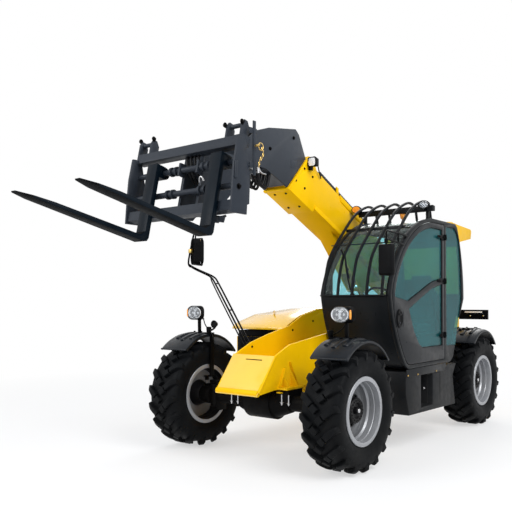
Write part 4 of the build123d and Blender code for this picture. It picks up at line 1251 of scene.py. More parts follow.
bar_shape = ribbon(rounded_line(BAR_LINE, 1), 0.028)
inner_y, outer_y = 0.37, 1.076
bars = []
for i in range(5):
    y = inner_y + i * (outer_y - inner_y) / 4
    bar = plate("bar", [at(x, y - 0.013, z) for x, z in bar_shape], (0, 0.026, 0))
    bars.append(soften(bar, 0.006, 2, 50))
    bars.append(hex_bolt("bar_bolt", 0.016, at(-0.545, y, 1.678), (0, 0, 1)))
bars.append(tube("tie_rod", [(-0.748, 0.33, 2.226), (-0.748, 1.1, 2.226)], 0.006, False))
sill = sheet(1, "sill", [(-0.578, 1.662), (-0.5, 1.662), (-0.5, 1.677), (-0.578, 1.677)], 0.34, 0.766)
bars.append(soften(sill, 0.003))
beam = sheet(1, "beam", [
    (-1.54, 2.632), (-1.47, 2.625), (-1.466, 2.69), (-1.478, 2.696), (-1.54, 2.69)
], 0.25, 0.96)
bars.append(soften(beam, 0.004))
for y in (0.305, 1.115):
    foot = sheet(1, "foot", [(-1.535, 2.55), (-1.495, 2.545), (-1.495, 2.63), (-1.535, 2.634)], y, 0.03)
    bars.append(soften(foot, 0.003))
    bars.append(hex_bolt("foot_bolt", 0.018, at(-1.494, y + 0.015, 2.6), (1, 0, 0)))
guard = finish_with(join("windscreen_guard", bars), DARK_GREY)
fit(guard, "chassis", "dark_paint", "guard_bars")
print("guard faces", len(guard.data.polygons))

# %% Roof work lamps
def work_lamp(name, centre, width, height, lens_finish):
    """An oval work lamp facing forwards: finned shell, bezel and bright cells behind a clear front."""
    deep = 0.06
    shell = spun(name + "_shell", [
        (-deep, 0.002), (-deep, 0.032), (-0.02, 0.052), (0.0, 0.056), (0.01, 0.054), (0.01, 0.046),
        (0.002, 0.044), (0.002, 0.002)
    ], 32, (0, 0, 0), (1, 0, 0))
    fins = []
    for i in range(5):
        y = -0.032 + 0.016 * i
        fins.append(plate("fin", [
            (-deep - 0.014, y - 0.002, -0.028), (-0.02, y - 0.002, -0.034), (-0.02, y - 0.002, 0.034),
            (-deep - 0.014, y - 0.002, 0.028)
        ], (0, 0.004, 0)))
    shell = finish_with(smooth(join(name + "_shell", [shell] + fins), 40), BLACK_PLASTIC)
    cells = []
    for row, count in ((-0.018, 3), (0.0, 4), (0.018, 3)):
        for i in range(count):
            y = (i - (count - 1) / 2) * 0.021
            cells.append(spun("cell", [
                (0.002, 0.001), (0.002, 0.008), (0.008, 0.0095), (0.008, 0.006), (0.004, 0.001)
            ], 10, (0, y, row), (1, 0, 0)))
    # On the amber lamp the cells and the lens take the amber finish with its faint painted glow.
    cells = finish_with(
        smooth(join(name + "_cells", cells), 50), MIRROR_GLASS if lens_finish is LENS_CLEAR else LENS_AMBER
    )
    lens = finish_with(smooth(spun(name + "_lens", [
        (0.0085, 0.001), (0.0085, 0.045), (0.011, 0.045), (0.014, 0.02), (0.015, 0.001)
    ], 32, (0, 0, 0), (1, 0, 0)), 50), lens_finish)
    stretch = Matrix.Diagonal((1, width / 0.112, height / 0.112, 1))
    for part in (shell, cells, lens):
        part.data.transform(stretch)
        moved(part, centre)
        fit(part, "chassis", "trim_plastic", *(["roof_lamps"] if part is shell else []))
    bracket = finish_with(slab(name + "_bracket", [
        (centre[0] - 0.075, centre[1] - 0.01, centre[2] - 0.06),
        (centre[0] - 0.03, centre[1] - 0.01, centre[2] - 0.06),
        (centre[0] - 0.025, centre[1] - 0.01, centre[2] - 0.02),
        (centre[0] - 0.05, centre[1] - 0.01, centre[2] - 0.015)
    ], (0, 0.02, 0), 0.002), BLACK_PAINT)
    fit(bracket, "chassis", "dark_paint")
    return shell


work_lamp("right_work_lamp", at(-1.395, 0.262, 2.712), 0.13, 0.092, LENS_AMBER)
work_lamp("left_work_lamp", at(-1.395, 1.137, 2.692), 0.145, 0.098, LENS_CLEAR)
print("work lamps placed")

# %% [markdown]
# ## Mirrors
# A mirror is a moulded shell with soft corners round a flat glass that faces back. The left one hangs
# from two pipes off the cab's corner. The right one stands far out on a double pipe that rises from the
# frame, bends over the wheel and turns up, so that the driver can see it past the boom.

# %% Mirror shells
def mirror_shell(name, width, height, deep, corner=0.0):
    """A mirror head centred on the origin, its glass facing -x; corner rounds its outline first."""
    head = cube(name, (deep, width, height))
    if corner:
        select_lengthwise(head, 0.5 * deep)
        bpy.ops.object.mode_set(mode="EDIT")
        bpy.ops.mesh.select_mode(type="EDGE")
        bpy.ops.mesh.bevel(offset=corner, segments=6, affect="EDGES")
        bpy.ops.object.mode_set(mode="OBJECT")
    for vertex in head.data.vertices:
        if vertex.co.x > 0:
            vertex.co.y *= 0.86
            vertex.co.z *= 0.92
    soften(head, min(deep, width) * (0.18 if corner else 0.34), 4, 60)
    finish_with(head, BLACK_PLASTIC)
    glass_face = plate(name + "_glass", [
        (-deep / 2 - 0.001, -width * 0.42, -height * 0.43), (-deep / 2 - 0.001, width * 0.42, -height * 0.43),
        (-deep / 2 - 0.001, width * 0.42, height * 0.43), (-deep / 2 - 0.001, -width * 0.42, height * 0.43)
    ], (0.004, 0, 0))
    soften(glass_face, 0.0015)
    finish_with(glass_face, MIRROR_GLASS)
    return head, glass_face


head, face = mirror_shell("left_mirror_head", 0.178, 0.325, 0.06)
for part in (head, face):
    moved(part, at(-0.4, 1.2, 2.02))
left_pipes = [
    tube("upper", [
        (-1.000, 1.125, 2.296), (-0.96, 1.16, 2.302), (-0.48, 1.19, 2.312), (-0.415, 1.198, 2.308),
        (-0.4, 1.2, 2.27), (-0.4, 1.2, 2.17)
    ], 0.01),
    tube("lower", [
        (-0.92, 1.125, 2.2), (-0.88, 1.16, 2.204), (-0.48, 1.195, 2.222), (-0.4, 1.2, 2.226)
    ], 0.01),
    tube("brace", [(-0.92, 1.13, 2.19), (-0.945, 1.135, 2.3)], 0.014, False),
    tube("brace", [(-0.7, 1.178, 2.306), (-0.7, 1.178, 2.212)], 0.01, False),
]
left_pipes.append(soften(spun("clamp", [(-0.022, 0.011), (-0.022, 0.02), (0.022, 0.02), (0.022, 0.011)], 20,
                              at(-0.4, 1.2, 2.205), (0, 0, 1)), 0.002))
arm = finish_with(join("left_mirror_arm", left_pipes), BLACK_PAINT)
fit(head, "chassis", "trim_plastic", "left_mirror")
fit(face, "chassis", "bright_steel")
fit(arm, "chassis", "dark_paint")

head, face = mirror_shell("right_mirror_head", 0.18, 0.335, 0.046, 0.086)
for part in (head, face):
    rotated(part, -30, (0, 0, 1))
    moved(part, at(-0.13, -1.15, 2.192))
right_pipes = []
for shift in (-0.03, 0.03):
    right_pipes.append(tube("arm", [
        (-0.13 + shift, -0.3, 1.05), (-0.14 + shift, -0.345, 1.1), (-0.312 + shift, -1.03, 1.868),
        (-0.305 + shift, -1.062, 1.895), (-0.27 + shift * 0.9, -1.08, 1.92),
        (-0.03 + shift * 0.5, -1.14, 2.005), (0.006, -1.15, 2.04)
    ], 0.0105))
right_pipes.append(tube("feed", [
    (-0.06, -0.3, 1.05), (-0.062, -0.345, 1.1), (-0.225, -1.000, 1.835), (-0.262, -1.05, 1.88),
    (-0.275, -1.075, 1.915)
], 0.008))
right_pipes.append(tube("upright", [
    (-0.02, -1.145, 2.01), (0.002, -1.15, 2.02), (0.012, -1.15, 2.07), (-0.03, -1.15, 2.23),
    (-0.068, -1.15, 2.377), (-0.111, -1.15, 2.48)
], 0.0105))
right_pipes.append(tube("second_upright", [
    (-0.1, -1.15, 2.33), (-0.108, -1.15, 2.4), (-0.128, -1.15, 2.48)
], 0.009, False))
for share in (0.12, 0.55, 0.92):
    spot = at(-0.13, -0.3, 1.05).lerp(at(-0.319, -1.05, 1.887), share)
    right_pipes.append(pipe("tie", [
        spot - Vector((0.036, 0, 0)), spot + Vector((0.036, 0, 0))
    ], 0.008, False))
arm = finish_with(join("right_mirror_arm", right_pipes), BLACK_PAINT)
mirror_clamp = finish_with(sheet(1, "right_mirror_pivot", [
    (-0.085, 2.17), (-0.005, 2.17), (-0.005, 2.215), (-0.085, 2.215)
], -1.168, 0.036, 0.004), BRASS_BOLT)
fit(mirror_clamp, "chassis", "bright_steel")
clamp = finish_with(sheet(1, "right_mirror_clamp", [
    (-0.19, 1.000), (-0.07, 1.000), (-0.07, 1.08), (-0.19, 1.08)
], -0.335, 0.06, 0.005), BLACK_PAINT)
fit(head, "chassis", "trim_plastic", "right_mirror")
fit(face, "chassis", "bright_steel")
fit(arm, "chassis", "dark_paint")
fit(clamp, "chassis", "dark_paint")
print("mirrors placed")
# %% [markdown]
# ## Boom, head and carriage details
# The boom is a welded box. What makes it read as one is the thick rolled rim round its mouth, the strip
# welded along each lower corner, the bolts that hold the wear pads, and the hose carrier on its back.
# They are thin plates and hexagon bolts that ride on the same body as the box they sit on.

# %% Small fittings helpers
def bolts(name, body, material, size, spots, slot_name="bright_steel"):
    """A group of like bolts; spots lists (place, direction)."""
    heads = [hex_bolt("bolt", size, place, direction) for place, direction in spots]
    piece = finish_with(smooth(join(name, heads), 30), material)
    return fit(piece, body, slot_name)


def both_sides(name, outline, y, thick, edge=0.003):
    """The same plate on the left and right walls."""
    left = sheet(1, name, outline, y, thick, edge)
    right = sheet(1, name, outline, -y, -thick, edge)
    return [left, right]


def along_boom(x, z, run, rise):
    """A side view point moved along and square to the boom."""
    return (x + run * math.cos(BOOM_ANGLE) - rise * math.sin(BOOM_ANGLE),
            z + run * math.sin(BOOM_ANGLE) + rise * math.cos(BOOM_ANGLE))


HALF = 0.165
mouth_top, mouth_low = (-0.539, 3.213), (-0.16, 2.808)
back = (-0.03 * math.cos(BOOM_ANGLE), -0.03 * math.sin(BOOM_ANGLE))
rim_band = [
    mouth_top, mouth_low, (mouth_low[0] + back[0], mouth_low[1] + back[1]),
    (mouth_top[0] + back[0], mouth_top[1] + back[1])
]
extras = both_sides("rim_band", rim_band, HALF - 0.001, 0.01, 0.004)
extras.append(slab("rim_foot", [
    at(mouth_low[0] + 0.002, -HALF - 0.009, mouth_low[1] - 0.009),
    at(mouth_low[0] + 0.002, HALF + 0.009, mouth_low[1] - 0.009),
    at(mouth_low[0] + 0.002, HALF + 0.009, mouth_low[1] + 0.004),
    at(mouth_low[0] + 0.002, -HALF - 0.009, mouth_low[1] + 0.004)
], (-0.036, 0, -0.016), 0.004))
corner_strip = [(-0.64, 2.637), (-0.665, 2.682), (-1.95, 2.103), (-1.95, 2.051)]
extras += both_sides("corner_strip", corner_strip, HALF - 0.001, 0.011)
top_doubler = [(-1.17, 2.872), (-1.195, 2.79), (-1.95, 2.446), (-1.95, 2.522)]
extras += both_sides("top_doubler", top_doubler, HALF - 0.001, 0.009)
put(join("boom_welded_strips", extras), YELLOW, "boom", "yellow_paint")

HEAD_HALF = 0.159  # half the width over the head plates
LUG_HALF = 0.104  # half the width over the lift lugs
side_spots = [(-0.462, 3.062), (-0.302, 2.909), (-0.615, 2.995), (-0.462, 2.846)]
spots = [(at(x, s * (HALF - 0.001), z), (0, s, 0)) for x, z in side_spots for s in (1, -1)]
down = Vector((math.sin(BOOM_ANGLE), 0, -math.cos(BOOM_ANGLE)))
for run in (0.09, 0.36):
    for y in (-0.075, 0.075):
        x, z = along_boom(mouth_low[0], mouth_low[1], -run, 0.002)
        spots.append((at(x, y, z), down))
bolts("wear_pad_bolts", "boom", AXLE_PAINT, 0.018, spots)
lug_spots = [(at(x, s * LUG_HALF, z), (0, s, 0)) for x, z in ((-1.44, 2.00), (-1.6, 1.86)) for s in (1, -1)]
bolts("lug_bolts", "boom", AXLE_PAINT, 0.03, lug_spots)
print("boom strips and bolts placed")

# %% Hose carrier on the boom
links = []
for i in range(30):
    x, z = along_boom(-0.78, 3.038, -0.046 * i, 0.0)
    x1, z1 = along_boom(x, z, -0.038, 0.0)
    x2, z2 = along_boom(x1, z1, 0.0, 0.056)
    x3, z3 = along_boom(x, z, 0.0, 0.056)
    links.append(sheet(1, "link", [(x, z), (x1, z1), (x2, z2), (x3, z3)], 0.06, 0.085, 0.004, 1))
tray_low, tray_far = along_boom(-0.7, 3.072, 0.0, 0.002), along_boom(-0.7, 3.072, -1.45, 0.002)
tray_top = along_boom(-0.7, 3.072, -1.45, 0.012)
tray_near = along_boom(-0.7, 3.072, 0.0, 0.012)
links.append(sheet(1, "tray", [
    (tray_low[0], tray_low[1]), (tray_far[0], tray_far[1]), (tray_top[0], tray_top[1]),
    (tray_near[0], tray_near[1])
], 0.045, 0.112))
put(join("hose_carrier", links), CARRIER_GREY, "boom", "trim_plastic")
clip_x, clip_z = along_boom(-1.11, 2.925, 0, 0)
clip = sheet(1, "clip", [
    (clip_x, clip_z - 0.04), (clip_x - 0.045, clip_z - 0.06), (clip_x - 0.045, clip_z + 0.015),
    (clip_x, clip_z + 0.035)
], 0.15, 0.018, 0.003)
put(clip, YELLOW, "boom", "yellow_paint")
clip.name = "hose_carrier_clip"
print("hose carrier links", len(links) - 1)

# %% Boom work lamp
def square_lamp(name, centre, size, body):
    """A square work lamp facing forwards, with a shell, a cell and a clear front; the cell and the front take
    the pale glowing finish, a painted reflection.
    """
    cx, cy, cz = centre
    shell = lens_block(
        name + "_shell", (cx, cy, cz), (size * 0.7, size, size), size * 0.16, size * 0.1, size * 0.1, 0.8
    )
    finish_with(shell, BLACK_PLASTIC)
    bowl = spun(name + "_bowl", [
        (0.0, 0.001), (0.0, size * 0.16), (size * 0.1, size * 0.36), (size * 0.12, size * 0.34),
        (size * 0.03, 0.001)
    ], 20, (cx + size * 0.22, cy, cz), (1, 0, 0))
    finish_with(smooth(bowl, 60), LENS_PAINTED_REFLECTION)
    front = finish_with(oblong_lens(
        name + "_front", (cx + size * 0.33, cy, cz), size * 0.82, size * 0.82, size * 0.04
    ), LENS_PAINTED_REFLECTION)
    for piece in (shell, bowl, front):
        fit(piece, body, "trim_plastic")
    return shell


square_lamp("boom_lamp", at(-0.54, 0.232, 3.138), 0.11, "boom")
stem = [
    sheet(1, "stem", [(-0.59, 3.06), (-0.53, 3.06), (-0.53, 3.15), (-0.59, 3.15)], 0.16, 0.03, 0.002),
    tube("lead", [
        (-0.572, 0.232, 3.138), (-0.62, 0.232, 3.13), (-0.68, 0.2, 3.09), (-0.76, 0.178, 3.000)
    ], 0.007)
]
put(join("boom_lamp_stem", stem), BLACK_PAINT, "boom", "dark_paint")
print("boom lamp placed")

# %% Head fittings
bolts("head_bolts", "boom_extension", AXLE_PAINT, 0.024,
      [(at(x, s * HEAD_HALF, z), (0, s, 0)) for x, z in ((-0.268, 3.361), (0.137, 3.168)) for s in (1, -1)])
patch = both_sides("patch", [
    (-0.215, 3.118), (-0.215, 3.03), (-0.32, 3.03), (-0.32, 3.118)
], HEAD_HALF, 0.003, 0.002)
put(join("head_patches", patch), HEAD_GREY, "boom_extension", "charcoal_paint")
HOSE_ROWS = (-0.09, -0.045, 0.000, 0.045, 0.09, 0.125)
hoses = []
for i, y in enumerate(HOSE_ROWS):
    drop = 0.018 * (i % 3)
    hoses.append(tube("hose", [
        (0.1, y, 2.935), (0.11, y, 2.87), (0.15, y, 2.8 - drop), (0.205, y, 2.8 - drop),
        (0.262, y, 2.84 - drop), (0.288, y, 2.89), (0.296, y, 2.95)
    ], 0.014))
put(join("head_hoses", hoses), HOSE_RUBBER, "boom_extension", "trim_plastic")
ends = []
for y in HOSE_ROWS:
    ends.append(spun("ferrule", [
        (-0.03, 0.008), (-0.03, 0.018), (0.03, 0.018), (0.03, 0.008)
    ], 12, at(0.293, y, 2.925), (0.1, 0, 1)))
ends.append(tube("hard_pipe", [
    (0.3, 0.138, 2.985), (0.292, 0.138, 2.93), (0.235, 0.138, 2.895), (0.18, 0.138, 2.9)
], 0.009))
put(smooth(join("hose_ends", ends), 40), BRIGHT_STEEL, "boom_extension", "bright_steel")
print("head fittings placed")

# %% Carriage fittings
bolts("lug_pin_heads", "carriage_body", AXLE_PAINT, 0.03, [
    (at(1.101, 0.621, 3.148), (0, 1, 0)), (at(1.101, 0.429, 3.148), (0, -1, 0)),
    (at(1.07, -0.539, 3.182), (0, 1, 0)), (at(1.07, -0.721, 3.182), (0, -1, 0))
])
bolts("cheek_bolts", "carriage_body", AXLE_PAINT, 0.03, [
    (at(1.176, 0.651, 2.576), (0, 1, 0)), (at(1.1, -0.721, 2.645), (0, -1, 0))
])
fork_stops = sheet(1, "bar", [
    (0.965, 2.7), (1.000, 2.7), (1.000, 3.175), (0.965, 3.175)
], 0.653, 0.012, 0.002)
guides = [fork_stops]
for z in (2.76, 3.06):
    guides.append(sheet(1, "guide", [
        (0.945, z), (1.045, z), (1.045, z + 0.05), (0.945, z + 0.05)
    ], 0.65, 0.01, 0.002))
guides.append(sheet(1, "side_pad", [
    (1.205, 2.64), (1.235, 2.64), (1.225, 2.79), (1.195, 2.79)
], 0.649, 0.014, 0.003))
put(join("cheek_bars", guides), CHARCOAL, "carriage_body", "charcoal_paint")

pin_parts = [spun("pin", [
    (-0.02, 0.002), (-0.02, 0.01), (0.045, 0.01), (0.05, 0.006), (0.05, 0.002)
], 14, at(0.975, 0.664, 2.957), (0, 1, 0))]
ring = around(16, lambda c, s: at(0.93 + 0.032 * c, 0.69, 2.955 + 0.032 * s))
pin_parts.append(pipe("ring", ring, 0.0045, False, 2))
chain_line = [
    (0.905, 2.94), (0.89, 2.915), (0.892, 2.89), (0.905, 2.868), (0.925, 2.85), (0.94, 2.828), (0.946, 2.804),
    (0.95, 2.78)
]
for i, (x, z) in enumerate(chain_line):
    tilt = 0.006 if i % 2 else 0.0
    link = around(8, lambda c, s: at(x + 0.008 * c, 0.684 + tilt * c, z + 0.015 * s))
    pin_parts.append(pipe("link", link, 0.003, False, 1))
put(smooth(join("retaining_pin_and_chain", pin_parts), 50), BRASS_BOLT, "carriage_body", "bright_steel")

centre_hoses = []
for y, drop in ((-0.07, 0.0), (-0.02, 0.02), (0.03, 0.0), (0.075, 0.03)):
    centre_hoses.append(tube("hose", [
        (1.02, y, 2.985), (1.075, y, 2.95), (1.085, y + 0.01, 2.86 - drop), (1.06, y + 0.02, 2.76 - drop),
        (1.000, y + 0.02, 2.7)
    ], 0.013))
centre_hoses.append(tube("low_hose", [
    (1.05, -0.18, 2.56), (1.15, -0.1, 2.47), (1.13, 0.05, 2.44), (1.06, 0.12, 2.5)
], 0.013))
centre_hoses.append(tube("low_hose", [
    (1.05, 0.2, 2.56), (1.14, 0.28, 2.4), (1.12, 0.36, 2.33), (1.06, 0.4, 2.36)
], 0.011))
put(join("carriage_hoses", centre_hoses), HOSE_RUBBER, "carriage_body", "trim_plastic")
silver = [tube("elbow", [
    (1.09, 0.105, 2.68), (1.105, 0.11, 2.725), (1.105, 0.15, 2.735), (1.095, 0.158, 2.69)
], 0.008)]
for y in (-0.222, 0.112):
    silver.append(spun("fitting", [
        (-0.018, 0.004), (-0.018, 0.016), (0.018, 0.016), (0.018, 0.004)
    ], 6, at(1.085, y, 2.585), (0, 0, 1)))
put(smooth(join("carriage_fittings", silver), 40), BRIGHT_STEEL, "carriage_body", "bright_steel")
under = []
for y in (0.36, 0.42):
    under.append(sheet(1, "tab", [(1.1, 2.345), (1.19, 2.345), (1.18, 2.29), (1.12, 2.29)], y, 0.014, 0.003))
put(join("lower_beam_tabs", under), CHARCOAL, "carriage_body", "charcoal_paint")
SHAFT_BACK = 0.112  # the shafts stand this far behind the shank
rings = []
for y in (-0.245, -0.18, 0.17, 0.235):
    for up in (0.7, 0.475):
        x = FORK_HEEL[0] - SHAFT_BACK * math.cos(FORK_LEAN) - up * math.sin(FORK_LEAN)
        z = FORK_HEEL[1] - SHAFT_BACK * math.sin(FORK_LEAN) + up * math.cos(FORK_LEAN)
        rings.append(spun("collar", [
            (-0.012, 0.029), (-0.012, 0.044), (0.012, 0.044), (0.012, 0.029)
        ], 24, at(x, y, z), (0, 1, 0)))
put(smooth(join("shaft_collars", rings), 40), CHARCOAL, "carriage_body", "charcoal_paint")
print("carriage fittings placed")
# %% [markdown]
# ## Cab trim
# Each pane sits in a black rubber seal. The seal is made from the pane itself: the outward face of a copy
# is kept, its rim becomes a curve, and the curve gets a round section, so that it follows every corner of
# the glass. The wiper, door handle, hinges and sill strip are small pressed parts that sit a few
# millimetres proud of the panel.

# %% Rubber seals
def seal_round(pane, name, outward, radius):
    """A rubber bead round the rim of a pane, on the side that faces outward."""
    bead = copied(pane, name)
    outward = Vector(outward).normalized()
    for face in bead.data.polygons:
        face.select = face.normal.dot(outward) < 0.8
    for item in list(bead.data.edges) + list(bead.data.vertices):
        item.select = False
    only(bead)
    bpy.ops.object.mode_set(mode="EDIT")
    bpy.ops.mesh.select_mode(type="FACE")
    bpy.ops.mesh.delete(type="FACE")
    bpy.ops.mesh.select_all(action="SELECT")
    bpy.ops.mesh.remove_doubles(threshold=0.0005)
    bpy.ops.mesh.region_to_loop()
    bpy.ops.mesh.select_all(action="INVERT")
    bpy.ops.mesh.delete(type="EDGE")
    bpy.ops.mesh.select_all(action="SELECT")
    bpy.ops.mesh.delete(type="ONLY_FACE")
    bpy.ops.object.mode_set(mode="OBJECT")
    if not bead.data.edges:
        bpy.data.objects.remove(bead)
        return None
    bpy.ops.object.convert(target="CURVE")
    bead = bpy.context.object
    bead.data.bevel_depth = radius
    bead.data.bevel_resolution = 1
    bpy.ops.object.convert(target="MESH")
    return smooth(finish_with(tidy_faces(bpy.context.object), SEAL_RUBBER), 60)


door_panes = merged_copy("door_glass", "door_panes")
made = []
for source, body, outward, radius in (
    (door_panes, "door", (0, 1, 0), 0.008),
    (bpy.data.objects["quarter_glass"], "chassis", (0, 1, 0), 0.008),
    (bpy.data.objects["far_glass"], "chassis", (0, -1, 0), 0.008),
    (bpy.data.objects["far_glass"], "chassis", (-1, 0, 0.2), 0.008),
    (bpy.data.objects["windscreen_glass"], "chassis", (1, 0, 0.5), 0.01),
):
    bead = seal_round(source, f"seal_{len(made) + 1}", outward, radius)
    if bead is None:
        continue
    bead.name = f"{body}_seal_{len(made) + 1}"
    fit(bead, body, "trim_plastic")
    made.append(len(bead.data.polygons))
bpy.data.objects.remove(door_panes)
print("seals with faces:", made)

# %% Door handle and hinges
DOOR_Y = 1.15
handle = spun("door_handle_dish", [
    (0.000, 0.001), (0.000, 0.07), (0.01, 0.067), (0.014, 0.058), (0.008, 0.048), (0.004, 0.001)
], 32, (0, 0, 0), (0, 1, 0))
handle.data.transform(Matrix.Diagonal((0.067 / 0.07, 1, 0.0985 / 0.07, 1)))
moved(handle, at(-0.77, DOOR_Y + 0.001, 1.43))
grip = sheet(1, "grip", [
    (-0.8, 1.462), (-0.74, 1.462), (-0.74, 1.484), (-0.8, 1.484)
], DOOR_Y + 0.006, 0.008, 0.004)
put(smooth(join("door_handle", [handle, grip]), 45), BLACK_PLASTIC, "door", "trim_plastic")
button = spun("door_lock_button", [
    (0.004, 0.001), (0.004, 0.009), (0.01, 0.009), (0.012, 0.007), (0.012, 0.001)
], 24, at(-0.77, DOOR_Y + 0.001, 1.385), (0, 1, 0))
put(smooth(button, 40), HEAD_GREY, "door", "dark_paint")
hinge_parts = []
for x_rear, x_front, z in ((-1.955, -1.726, 2.365), (-1.949, -1.72, 1.848), (-1.935, -1.775, 1.216)):
    tall = 0.026
    strap = sheet(1, "strap", [
        (x_rear + 0.03, z - tall), (x_front, z - tall * 0.55), (x_front, z + tall * 0.55),
        (x_rear + 0.03, z + tall)
    ], DOOR_Y + 0.001, 0.01)
    hinge_parts.append(soften(strap, 0.003))
    hinge_parts.append(spun("knuckle", [(-0.034, 0.001), (-0.034, 0.017), (0.034, 0.017), (0.034, 0.001)], 20,
                            at(x_rear + 0.024, DOOR_Y + 0.012, z), (0, 0, 1)))
    for step in (0.35, 0.75):
        hinge_parts.append(hex_bolt("bolt", 0.016, at(
            x_rear + (x_front - x_rear) * step, DOOR_Y + 0.01, z
        ), (0, 1, 0)))
put(smooth(join("door_hinges", hinge_parts), 35), BLACK_PAINT, "door", "dark_paint")
print("handle and hinges placed")

# %% Sill strip and tank seams
sill_parts = [sheet(1, "strip", [
    (-1.945, 0.8), (-0.93, 0.8), (-0.925, 0.884), (-1.945, 0.884)
], 1.146, 0.008, 0.003)]
put(join("sill_strip", sill_parts), CAB_GREY, "chassis", "dark_paint")
bolts("sill_bolts", "chassis", BRASS_BOLT, 0.012,
      [(at(x, 1.153, z), (0, 1, 0)) for x, z in ((-0.96, 0.82), (-1.196, 0.815), (-1.676, 0.812))])
TANK_Y = 1.148  # outer wall of the step tank
seams = [sheet(1, "seam", [
    (x - 0.003, 0.47), (x + 0.003, 0.47), (x + 0.003, 0.795), (x - 0.003, 0.795)
], TANK_Y, 0.0035) for x in (-1.434, -1.785)]
seams.append(sheet(1, "seam", [
    (-1.785, 0.79), (-1.434, 0.79), (-1.434, 0.796), (-1.785, 0.796)
], TANK_Y, 0.0035))
put(join("tank_seams", seams), SEAL_RUBBER, "chassis", "trim_plastic")
bolts("tank_bolt", "chassis", BRIGHT_STEEL, 0.014, [(at(-1.356, 1.149, 0.649), (0, 1, 0))])
print("sill placed")

# %% [markdown]
# The wiper has a sprung arm on a boss and a blade with a rubber lip. A cross bar carries the top edge of
# the windscreen, and a small amber marker hangs under the lamp beam.

# %% Wiper, cross bar and marker
wiper_parts = [
    spun("boss", [
        (-0.01, 0.001), (-0.01, 0.022), (0.022, 0.018), (0.026, 0.001)
    ], 20, at(-0.57, 0.707, 1.676), (1, 0, 0)),
    tube("arm", [
        (-0.556, 0.707, 1.676), (-0.552, 0.69, 1.74), (-0.566, 0.64, 1.9), (-0.6, 0.6, 2.02)
    ], 0.007),
    tube("blade", [(-0.584, 0.655, 1.85), (-0.596, 0.612, 1.985), (-0.64, 0.566, 2.14)], 0.009),
    tube("blade_back", [(-0.574, 0.655, 1.85), (-0.59, 0.606, 2.000), (-0.63, 0.566, 2.15)], 0.005),
    tube("short_blade", [(-0.646, 0.521, 2.165), (-0.618, 0.571, 2.085)], 0.01, False),
]
put(smooth(join("windscreen_wiper", wiper_parts), 40), BLACK_PLASTIC, "chassis", "trim_plastic")
cross = sheet(1, "screen_cross_bar", [
    (-1.01, 2.432), (-0.975, 2.424), (-0.97, 2.392), (-1.01, 2.4)
], 0.38, 0.73, 0.004)
put(cross, CAB_GREY, "chassis", "dark_paint")
marker = spun("amber_marker", [
    (0.000, 0.001), (0.000, 0.034), (-0.018, 0.036), (-0.05, 0.03), (-0.062, 0.016), (-0.064, 0.001)
], 24, at(-1.5, 0.828, 2.626), (0, 0, 1))
# The marker's amber finish has a faint painted glow.
put(smooth(marker, 50), LENS_AMBER, "chassis", "trim_plastic")
bow = sheet(2, "marker_base", [
    (-1.54, 0.788), (-1.46, 0.788), (-1.46, 0.868), (-1.54, 0.868)
], 2.622, 0.008, 0.002)
put(bow, BLACK_PLASTIC, "chassis", "trim_plastic")
print("cab trim placed")

# %% [markdown]
# ## Nose, hood front and tail
# The nose cover folds under into a lip, and two ribs stiffen the side plate behind the wheel. The engine
# hood ends in a small slotted grille; the black front wall round it is painted shade, for the shade on the
# hood's front face under its visor. At the tail, a bar carries the rear lamps and a pale stripe, and two
# hooks on the cast weight hold the machine when it is tied down on a lorry.

# %% Nose ribs, lip and bolts
NOSE_Y = 0.27
ribs = []
for side in (1, -1):
    for top, low, wide in (((-0.034, 0.987), (-0.182, 0.691), 0.012), ((0.055, 0.93), (0.141, 0.746), 0.012)):
        run, rise = low[0] - top[0], low[1] - top[1]
        far = math.hypot(run, rise)
        off_x, off_z = -rise / far * wide / 2, run / far * wide / 2
        rib = sheet(1, "rib", [
            (top[0] + off_x, top[1] + off_z), (top[0] - off_x, top[1] - off_z),
            (low[0] - off_x, low[1] - off_z), (low[0] + off_x, low[1] + off_z)
        ], side * NOSE_Y, side * 0.034)
        ribs.append(soften(rib, 0.003))
    flange = sheet(1, "flange", [
        (0.17, 0.702), (-0.295, 0.664), (-0.295, 0.65), (0.17, 0.688)
    ], side * NOSE_Y, side * 0.046)
    ribs.append(soften(flange, 0.003))
put(join("nose_ribs", ribs), YELLOW, "chassis", "yellow_paint")
lip_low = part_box("nose_plate")[0].z
lip = tube("lip", [(0.456, 0.268, lip_low + 0.031), (0.456, -0.268, lip_low + 0.031)], 0.031, False, 6)
put(soften(lip, 0.006, 3, 50), YELLOW, "chassis", "yellow_paint")
rolls = [tube("roll", [(
    0.452, s * 0.266, lip_low + 0.034
), (0.192, s * 0.266, 1.052)], 0.018, False) for s in (1, -1)]
put(smooth(join("nose_edge_rolls", rolls), 50), YELLOW, "chassis", "yellow_paint")
lip.name = "nose_lip"
nose_face = max(
    (f for f in bpy.data.objects["nose_cover"].data.polygons if f.normal.x > 0.3), key=lambda f: f.area
)


def on_nose(y, z):
    """A point on the front face of the nose cover."""
    middle, facing = nose_face.center, nose_face.normal
    return Vector((middle.x - (facing.y * (y - middle.y) + facing.z * (z - middle.z)) / facing.x, y, z))


